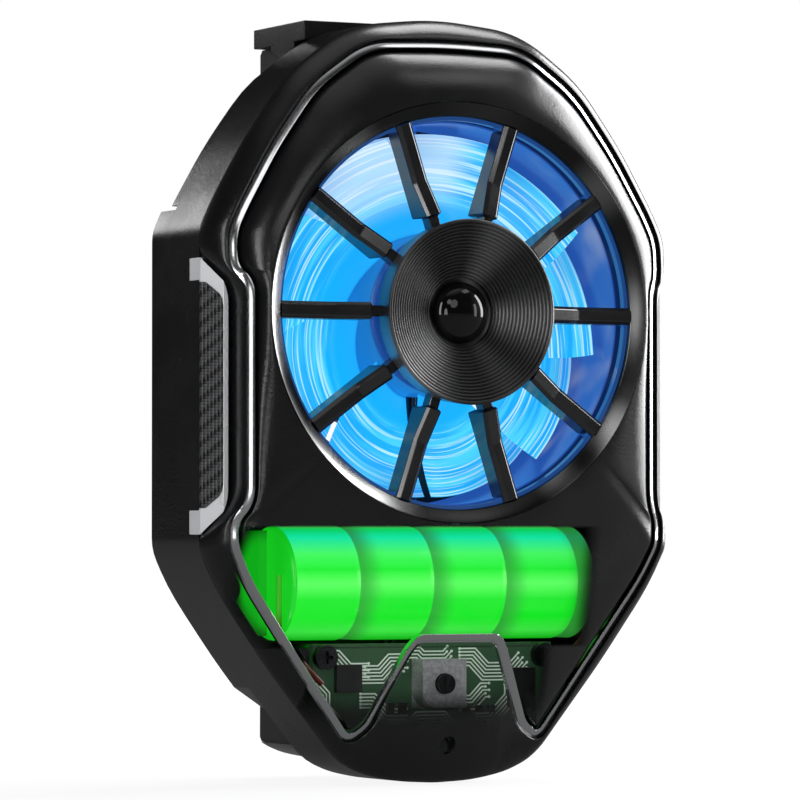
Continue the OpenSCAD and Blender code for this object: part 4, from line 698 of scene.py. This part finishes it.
# Hub: a turned dish whose inside is a fine thread of ridges, falling from the rim to a recess.
# A polished jewel is set in the recess.
ridges, fine = 16, 10
s = np.linspace(0, 1, ridges * fine + 1)
thread_r = 10.95 + (4.4 - 10.95) * s
thread_z = 25.8 + (22.7 - 25.8) * s - 0.2 * (1 - np.abs(np.cos(math.pi * ridges * s)) ** 0.8)
dish = [(0.001, 21.62), (10.3, 21.62), (10.8, 21.9), (11.02, 22.3), (11.28, 25.35), (11.3, 25.55),
        (11.24, 25.72), (11.12, 25.8), (11.0, 25.82)]
dish += list(zip(thread_r, thread_z)) + [(4.4, 22.5), (4.38, 21.95), (4.3, 21.9), (0.001, 21.9)]
dish_satin, made, link, shader, out = principled("dish_satin", (0.02, 0.02, 0.02), 0.3, metal=0.6,
                                                 specular=0.6)
grain(made, link, shader, 3800, 3e-7, 0.3, spread=0.03)
# Painted sheen: lobes of lighter base colour round the dish, in place of reflections.
painted_sheen = painted_sheen_lobes(made, link, 0.03, [(-132, 48, 0.22), (95, 34, 0.13), (22, 26, 0.14),
                     (-60, 30, 0.09), (150, 20, 0.07)])
link(blended(made, link, painted_sheen, (0.0, 0.0, 0.0), (1.0, 1.0, 1.0)), shader.inputs["Base Color"])
dressed(skin("dish_moulding", spun(dish, 180), angle=50), dish_satin, "casing", "satin_ring",
        "hub_dish")
gloss_black, made, link, shader, out = principled("gloss_black", (0.003, 0.003, 0.003), 0.07,
                                                  specular=0.45)
grain(made, link, shader, 900, 4e-7, 0.06, spread=0.03)
a = np.linspace(0, math.pi / 2, 24)
jewel_r, seat, jewel_h = 3.8, 21.92, 2.58
jewel = [(jewel_r * math.cos(t), seat + jewel_h * math.sin(t) ** 0.9) for t in a]
dressed(skin("jewel", spun([(0.001, seat)] + jewel[:-1] + [(0.001, seat + jewel_h)], 96), angle=80),
        gloss_black, "casing", "gloss_black", "hub_jewel")

# Rotor: nine swept blades on a cup, moulded in one in a clear blue. Its glow is painted, as
# emission standing in for the light of the ring of emitters, with painted light streaks, a painted
# pale highlight sweep near the top and painted shade at the back of the blade tips.
cup = [(0.001, 17.98), (9.3, 17.98), (9.75, 17.85), (10.0, 17.5), (10.0, 9.7), (9.0, 9.7),
       (9.0, 16.9), (1.65, 16.9), (1.65, 15.3), (0.8, 15.3), (0.8, 16.9), (0.001, 16.9)]
blades, root_r, tip_r = 9, 9.7, 22.4
span, chord = 16, 20
r = np.linspace(root_r, tip_r, span)[:, None]
s = np.linspace(0, 1, chord + 1)[None, :]
turn = np.radians(0.9 * (r - 10) + (49 - 0.25 * (r - 10)) * (s - 0.5))
mid = 16.6 - 6.6 * s ** 0.85 - 0.45
thick = 0.45 * (0.3 + 2.8 * s * (1 - s)) + 0 * r
face = np.concatenate([thick, -thick[:, ::-1]], 1)
sweep = np.concatenate([turn, turn[:, ::-1]], 1)
level = np.concatenate([mid + 0 * r, (mid + 0 * r)[:, ::-1]], 1)
grids = [(spun(cup, 96), True, True)]
for k in range(blades):
    a = sweep + math.radians(360 / blades * k)
    blade = np.stack([r * np.cos(a), fan_up + r * np.sin(a), level + face], -1)
    ends = np.stack([r * np.cos(a), fan_up + r * np.sin(a), level], -1)
    grids.append((np.concatenate([ends[:1], blade, ends[-1:]]), True, False))
rotor = skins("rotor_moulding", grids, 40)


def painted_light_streaks(made, link, r, cx, cz, fine, long, low, high):
    """Painted streaking light about the fan's axis: noise that changes fast outwards and slowly
    round.
    """
    place = made.new("ShaderNodeCombineXYZ")
    link(math_node(made, link, "MULTIPLY", r, fine), place.inputs[0])
    link(math_node(made, link, "MULTIPLY", cx, long), place.inputs[1])
    link(math_node(made, link, "MULTIPLY", cz, long), place.inputs[2])
    noise = made.new("ShaderNodeTexNoise")
    noise.inputs["Scale"].default_value = 1.0
    noise.inputs["Detail"].default_value = 3.0
    link(place.outputs[0], noise.inputs["Vector"])
    return ramp(made, link, noise.outputs["Fac"], low, high)


# All of the rotor's colour is emission: painted glow.
lit_blue, made, link, shader, out = principled("lit_blue", (0.02, 0.12, 0.25), 0.3)
r, cx, cz, x, z = fan_polar(made, link)
colour = blended(made, link, ramp(made, link, r, 0.0098, 0.0104), (0.004, 0.03, 0.22),
                 (0.012, 0.42, 0.98))
colour = blended(made, link, ramp(made, link, r, 0.0108, 0.0128), colour, (0.006, 0.43, 0.99))
broad = math_node(made, link, "MULTIPLY", painted_light_streaks(made, link, r, cx, cz, 800, 0.9, 0.42, 0.62),
                  ramp(made, link, r, 0.0130, 0.0155, 0.0, 0.8))
colour = blended(made, link, broad, colour, (0.09, 0.74, 1.0))
fine_painted_streak = math_node(made, link, "MULTIPLY",
                        painted_light_streaks(made, link, r, cx, cz, 3400, 0.8, 0.54, 0.63),
                        ramp(made, link, r, 0.0135, 0.0165, 0.0, 0.9))
colour = blended(made, link, fine_painted_streak, colour, (0.55, 0.93, 1.0))
# Painted highlight: a pale sweep near the top, fixed to the rotor.
around = math_node(made, link, "ARCTAN2", x, z)
pale = math_node(made, link, "MULTIPLY", ramp(made, link, around, -0.95, -0.8),
                 ramp(made, link, around, 0.1, 0.35, 1.0, 0.0))
pale = math_node(made, link, "MULTIPLY", pale, ramp(made, link, r, 0.012, 0.0185, 0.0, 0.75))
colour = blended(made, link, pale, colour, (0.62, 0.85, 1.0))
colour = blended(made, link, math_node(made, link, "MULTIPLY", pale, math_node(made, link,
                 "MULTIPLY", fine_painted_streak, 0.8)), colour, (0.9, 0.98, 1.0))
# Painted shade: the blade tips darker towards the back.
painted_tip_shade = math_node(made, link, "MULTIPLY", ramp(made, link, r, 0.0175, 0.0212),
                ramp(made, link, object_xyz(made, link)["Y"], -0.0150, -0.0110, 0.0, 0.45))
colour = blended(made, link, painted_tip_shade, colour, (0.018, 0.10, 0.46))
link(colour, shader.inputs["Emission Color"])
shader.inputs["Emission Strength"].default_value = 0.92
dressed(rotor, lit_blue, "fan_rotor", "rotor_blue", "rotor")

# Fan frame: painted blue light on its round wall, as emission, with painted pale highlight smears
# where the lamps stand.
shroud, made, link, shader, out = principled("blue_lit_shroud", (0.01, 0.02, 0.06), 0.3)
r, cx, cz, x, z = fan_polar(made, link)
painted_smear_noise = made.new("ShaderNodeTexNoise")
painted_smear_noise.inputs["Scale"].default_value = 95
link(made.new("ShaderNodeTexCoord").outputs["Object"], painted_smear_noise.inputs["Vector"])
# Painted highlight: pale smears on the right side of the wall.
painted_highlight_side = ramp(made, link, x, 0.008, 0.02)
painted_wall_light = blended(made, link, math_node(made, link, "MULTIPLY", painted_highlight_side,
                    ramp(made, link, painted_smear_noise.outputs["Fac"], 0.48, 0.68, 0.0, 0.8)),
                    (0.016, 0.085, 0.40), (0.24, 0.29, 0.46))
# Painted blue light, as emission, on the inner wall.
painted_wall_glow = math_node(made, link, "MULTIPLY", ramp(made, link, r, 0.0150, 0.0225),
                       ramp(made, link, r, 0.0234, 0.0236, 1.0, 0.0))
link(blended(made, link, painted_wall_glow, (0.001, 0.012, 0.07), painted_wall_light),
     shader.inputs["Emission Color"])
shader.inputs["Emission Strength"].default_value = 0.9


def clear_below(made, link, shader, out, z):
    """Leaves the shader out below the fan's ring, where the round cell is shown whole."""
    clear = made.new("ShaderNodeBsdfTransparent")
    link(between(made, link, ramp(made, link, z, -0.0258, -0.0254, 1.0, 0.0), shader.outputs[0],
                 clear.outputs[0]), out.inputs[0])


clear_below(made, link, shader, out, z)
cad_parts["fan_frame"].material_slots[0].material = shroud
lamp_board, made, link, shader, out = principled("lamp_board", (0.022, 0.062, 0.028), 0.35)
grain(made, link, shader, 2500, 2e-6, 0.35)
clear_below(made, link, shader, out, fan_polar(made, link)[4])
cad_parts["light_board"].material_slots[0].material = lamp_board

# Round cell: a glossy green film shrunk over the can in bands, each ending in a soft roll. Its
# glow is painted, as emission, with painted highlight stripes by height and painted shade past each
# roll.
cell_y0, cell_z0 = -21.1, 12.0
edges = np.array([-20.5, -11.7, -1.7, 8.3, 18.3, 20.5])
place = np.concatenate([np.linspace(a, b, 25)[:-1] for a, b in zip(edges[:-1], edges[1:])])
start = np.repeat(edges[:-1], 24)
length = np.repeat(np.diff(edges), 24)
u = (place - start) / length
swelled = 6.84 + 0.15 * np.minimum(1, u * length / 3.2) ** 0.7
swelled = np.where(place > edges[1] - 8.8 + 0.8, swelled, 6.99)
profile = [(place[k], swelled[k]) for k in range(len(place)) if -20.0 < place[k] < 19.9]
film_end, roll_r, inner_end = 20.84, 0.6, 20.81
roll = [(-film_end + roll_r * (1 - math.cos(t)), 6.37 + roll_r * math.sin(t))
        for t in np.linspace(0, 1.5, 8)]
roll_out = [(-x, radius) for x, radius in roll[::-1]]
line = np.array([(-film_end, 0.001)] + roll + profile + roll_out + [
    (film_end, 0.001), (inner_end, 0.001), (inner_end, 6.2), (-inner_end, 6.2),
    (-inner_end, 0.001)])
turn = np.linspace(0, 2 * math.pi, 120, endpoint=False)
film = np.stack([line[:, :1] + 0 * turn, cell_y0 + line[:, 1:] * np.sin(turn),
                 cell_z0 + line[:, 1:] * np.cos(turn)], -1)
cell_green, made, link, shader, out = principled("cell_green", (0.01, 0.25, 0.02), 0.22)
along, y, z = object_xyz(made, link)
height = math_node(made, link, "DIVIDE",
                   math_node(made, link, "SUBTRACT", z, cell_y0 * 0.001), 0.007)
# Painted highlight stripes: the green changes with height round the can.
bands = made.new("ShaderNodeValToRGB")
stops = ((0.0, (0.002, 0.45, 0.004)), (0.08, (0.05, 0.80, 0.06)), (0.2, (0.004, 0.80, 0.012)),
         (0.36, (0.006, 0.78, 0.016)), (0.5, (0.12, 1.0, 0.13)), (0.62, (0.012, 0.84, 0.03)),
         (0.76, (0.07, 0.98, 0.14)), (0.9, (0.006, 0.86, 0.42)), (0.97, (0.004, 0.7, 0.1)),
         (1.0, (0.10, 0.7, 0.12)))
while len(bands.color_ramp.elements) < len(stops):
    bands.color_ramp.elements.new(0.5)
for stop, (at, tone) in zip(bands.color_ramp.elements, stops):
    stop.position = at
    stop.color = (*tone, 1)
link(ramp(made, link, height, -1, 1, smooth=False), bands.inputs["Fac"])
# Painted shade: darker just past each roll.
shade = None
for edge in edges[1:5]:
    after = math_node(made, link, "SUBTRACT", along, float(edge) * 0.001)
    dark = math_node(made, link, "MULTIPLY", math_node(made, link, "GREATER_THAN", after, 0.0),
                     ramp(made, link, after, 0.0, 0.0036, 1.0, 0.0))
    shade = dark if shade is None else math_node(made, link, "ADD", shade, dark)
film_painted_glow = blended(made, link, math_node(made, link, "MULTIPLY", shade, 0.75),
                    bands.outputs["Color"], (0.03, 0.17, 0.035))
on_end = math_node(made, link, "LESS_THAN", along, -0.0203)
film_painted_glow = blended(made, link, on_end, film_painted_glow, (0.006, 0.56, 0.012))
# Darker towards the right end.
fade = ramp(made, link, along, 0.0165, 0.0205, 0.0, 0.7)
film_painted_glow = blended(made, link, fade, film_painted_glow, (0.02, 0.16, 0.025))
link(film_painted_glow, shader.inputs["Emission Color"])
shader.inputs["Emission Strength"].default_value = 0.85
dressed(skin("shrunk_film", film, angle=60), cell_green, "casing", "sleeve_green", "cell_sleeve")

# Circuit board: dark solder mask, with its copper tracks raised under it. The tracks run in
# bundles that turn by 45 degrees and end in plated holes.
board_green, made, link, shader, out = principled("board_green", (0.022, 0.062, 0.028), 0.35)
# Painted light: the board glows faintly in its own colour, as emission.
shader.inputs["Emission Color"].default_value = (0.022, 0.062, 0.028, 1)
shader.inputs["Emission Strength"].default_value = 0.25
grain(made, link, shader, 2500, 2e-6, 0.35)
for node in ("main_board", "fan_board"):
    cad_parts[node].material_slots[0].material = board_green
track_green, made, link, shader, out = principled("track_green", (0.48, 0.56, 0.48), 0.3)
# Painted light: the tracks glow faintly in their own colour, as emission.
shader.inputs["Emission Color"].default_value = (0.48, 0.56, 0.48, 1)
shader.inputs["Emission Strength"].default_value = 0.3
grain(made, link, shader, 2500, 2e-6, 0.3)
bundles = [
    # start x and y, number of tracks, then the runs as (dx, dy)
    (-15.9, -29.3, 5, [(3.0, 0), (1.6, -1.6), (2.4, 0)]),
    (-10.0, -31.2, 6, [(2.4, 0), (1.4, 1.4), (2.6, 0)]),
    (-10.0, -34.6, 5, [(2.0, 0), (1.9, -1.9), (2.4, 0)]),
    (-15.6, -33.0, 4, [(1.4, -1.4), (0, -1.6), (1.7, -1.7)]),
    (3.6, -29.2, 6, [(2.2, 0), (1.8, -1.8), (3.0, 0), (1.2, 1.2)]),
    (3.6, -35.0, 5, [(1.4, 0), (1.5, 1.5), (1.2, 0)]),
    (6.0, -37.2, 5, [(1.6, 0), (2.3, 2.3), (0, 1.2)]),
    (-3.4, -29.0, 4, [(1.6, 0), (0.5, -0.5), (2.6, 0), (0.6, 0.6)]),
    (-6.4, -37.9, 5, [(3.0, 0), (1.0, 1.0), (4.0, 0), (1.2, -1.2), (2.2, 0)]),
]
board_top, track_half, pitch, lift, pad_r = 15.3, 0.085, 0.42, 0.035, 0.17
points, faces = [], []


def plate(outline, high):
    """Adds a thin plate over an outline of (x, up), its sides down to the board."""
    n, first = len(outline), len(points)
    points.extend([(x, y, board_top) for x, y in outline])
    points.extend([(x, y, board_top + high) for x, y in outline])
    faces.append([first + n + k for k in range(n)])
    faces.extend([[first + k, first + (k + 1) % n, first + n + (k + 1) % n, first + n + k]
                  for k in range(n)])


turn = np.linspace(0, 2 * math.pi, 13)[:-1]
for x0, y0, count, runs in bundles:
    way = np.cumsum(np.array([(x0, y0)] + runs, float), 0)
    ahead = np.diff(way, axis=0)
    ahead /= np.linalg.norm(ahead, axis=1)[:, None]
    left = np.stack([-ahead[:, 1], ahead[:, 0]], 1)
    mitre = np.vstack([left[:1], left[:-1] + left[1:], left[-1:]])
    mitre /= (np.sum(mitre * np.vstack([left[:1], left]), 1))[:, None]
    for k in range(count):
        off = -k * pitch
        edge_a, edge_b = way + mitre * (off - track_half), way + mitre * (off + track_half)
        if k % 2:
            edge_a[-1] -= ahead[-1] * 0.5
            edge_b[-1] -= ahead[-1] * 0.5
        plate(np.vstack([edge_a, edge_b[::-1]]), lift)
        for at in ((edge_a[0] + edge_b[0]) / 2, (edge_a[-1] + edge_b[-1]) / 2):
            plate(at + pad_r * np.stack([np.cos(turn), np.sin(turn)], 1), lift * 1.4)
tracks = shell("board_tracks", upright(np.array(points)), faces, 30)
dressed(tracks, track_green, "casing", "board_green")

# Cradle and leads: painted green light, as emission, on the cradle's end walls over the cell's
# round end.
def painted_end_glow(made, link, shader):
    """Painted green light, as emission, on what stands close to the cell's left end, fading away
    from its axis.
    """
    x, y, z = object_xyz(made, link)
    dz = math_node(made, link, "SUBTRACT", z, cell_y0 * 0.001)
    dy = math_node(made, link, "ADD", y, cell_z0 * 0.001)
    far = math_node(made, link, "SQRT", math_node(made, link, "ADD", math_node(made, link,
                    "MULTIPLY", dz, dz), math_node(made, link, "MULTIPLY", dy, dy)))
    shader.inputs["Emission Color"].default_value = (0.006, 0.50, 0.012, 1)
    link(math_node(made, link, "MULTIPLY", ramp(made, link, far, 0.0045, 0.0078, 0.8, 0.0),
                   math_node(made, link, "LESS_THAN", x, 0.0)),
         shader.inputs["Emission Strength"])


cradle_lit, made, link, shader, out = principled("cradle_lit", (0.006, 0.008, 0.012), 0.4)
grain(made, link, shader, 2500, 2e-6, 0.4)
painted_end_glow(made, link, shader)
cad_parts["cell_cradle"].material_slots[0].material = cradle_lit
lead_red, made, link, shader, out = principled("lead_red", (0.10, 0.004, 0.004), 0.35)
grain(made, link, shader, 2500, 1e-6, 0.35)
painted_end_glow(made, link, shader)
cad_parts["cell_wires"].material_slots[0].material = lead_red

# Shells and clamp: satin black mouldings with broken edges; the jaws and seats are lined with
# matt silicone, and the rods and springs are drawn steel.
for node, width in (("mid_shell", 0.14), ("rear_cover", 0.14), ("lower_jaw", 0.25)):
    dressed(softened(node + "_moulding", node, width), black_shell, "casing", "black_shell", node)
dressed(softened("carriage_moulding", "clamp_carriage", 0.35), black_shell, "clamp",
        "black_shell", "clamp_carriage")
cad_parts["power_button"].material_slots[0].material = black_front


def finish(name, colour, rough, nodes, metal=0.0, scale=2600, depth=2e-6, spread=0.06, glow=0.0,
           stretch=(1, 1, 1)):
    """A material for small parts: a grain that tints, dents and dulls it, drawn out by stretch,
    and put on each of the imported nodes."""
    mat, made, link, shader, out = principled(name, colour, rough, metal)
    where, fine, bump = grain(made, link, shader, scale, depth, rough, spread)
    drawn = made.new("ShaderNodeVectorMath")
    drawn.operation = "MULTIPLY"
    drawn.inputs[1].default_value = stretch
    link(where, drawn.inputs[0])
    link(drawn.outputs[0], fine.inputs["Vector"])
    tint = blended(made, link, ramp(made, link, fine.outputs["Fac"], 0.3, 0.7),
                   tuple(0.78 * c for c in colour), tuple(min(1.0, 1.15 * c) for c in colour))
    link(tint, shader.inputs["Base Color"])
    if glow:
        link(tint, shader.inputs["Emission Color"])
        shader.inputs["Emission Strength"].default_value = glow
    for node in nodes:
        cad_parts[node].material_slots[0].material = mat
    return mat


finish("matt_silicone", (0.02, 0.0203, 0.022), 0.7, ("seat_pads", "lower_jaw_pad", "upper_jaw_pad"),
       scale=3000, depth=8e-6)
drawn_steel = finish("drawn_steel", (0.5, 0.51, 0.53), 0.24, ("left_guide_rod", "right_guide_rod",
                     "rotor_shaft"), metal=1.0, stretch=(1, 1, 0.04))


def pressed_spring(name, node):
    """A copy of a packed spring in drawn steel, with its own mesh, riding on the casing in place of
    the imported node."""
    obj = dressed(joined_copy(name, node), drawn_steel, "casing", "steel", node)
    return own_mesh(obj)


for side in ("left", "right"):
    pressed_spring(side + "_spring_wire", side + "_clamp_spring")
finish("rolled_steel", (0.48, 0.49, 0.51), 0.32, ("rotor_yoke", "stator_core", "battery_cell",
       "cell_tabs", "charging_port"), metal=1.0, stretch=(0.08, 1, 1))
finish("blackened_steel", (0.05, 0.05, 0.054), 0.38, ("cover_screws", "front_screws", "fan_screws",
       "board_screws", "jaw_screws"), metal=1.0, scale=4200)

# Small parts inside: bonded magnet, bronze bush, copper windings and nylon clip of the motor, the
# lamps, and the chips, switch and leads on the boards.
finish("bonded_ferrite", (0.05, 0.05, 0.055), 0.62, ("magnet_ring",), depth=8e-6)
finish("sintered_bronze", (0.50, 0.33, 0.15), 0.4, ("bearing_bush",), metal=1.0, depth=8e-6)
finish("enamelled_copper", (0.66, 0.30, 0.13), 0.22, ("stator_windings",), metal=1.0, depth=3e-5,
       stretch=(0.05, 0.05, 2.4))
finish("natural_nylon", (0.74, 0.72, 0.64), 0.4, ("shaft_clip",))
lamp = finish("clear_lamp", (0.55, 0.80, 0.98), 0.12, ("light_emitters",), glow=1.2).node_tree
made, link = lamp.nodes, lamp.links.new
clear_below(made, link, made["Principled BSDF"], made["Material Output"],
            fan_polar(made, link)[4])
finish("dark_lamp", (0.30, 0.34, 0.36), 0.12, ("indicator_emitter",))
finish("smoked_lens", (0.006, 0.007, 0.009), 0.1, ("indicator_lens",), spread=0.02)
finish("chip_black", (0.008, 0.008, 0.0085), 0.42, ("control_chip", "board_parts"))
finish("plunger_black", (0.006, 0.006, 0.006), 0.24, ("switch_plunger",))
finish("switch_grey", (0.30, 0.302, 0.31), 0.32, ("switch_body",), metal=0.3)
finish("black_lead", (0.012, 0.012, 0.013), 0.35, ("fan_wires",))
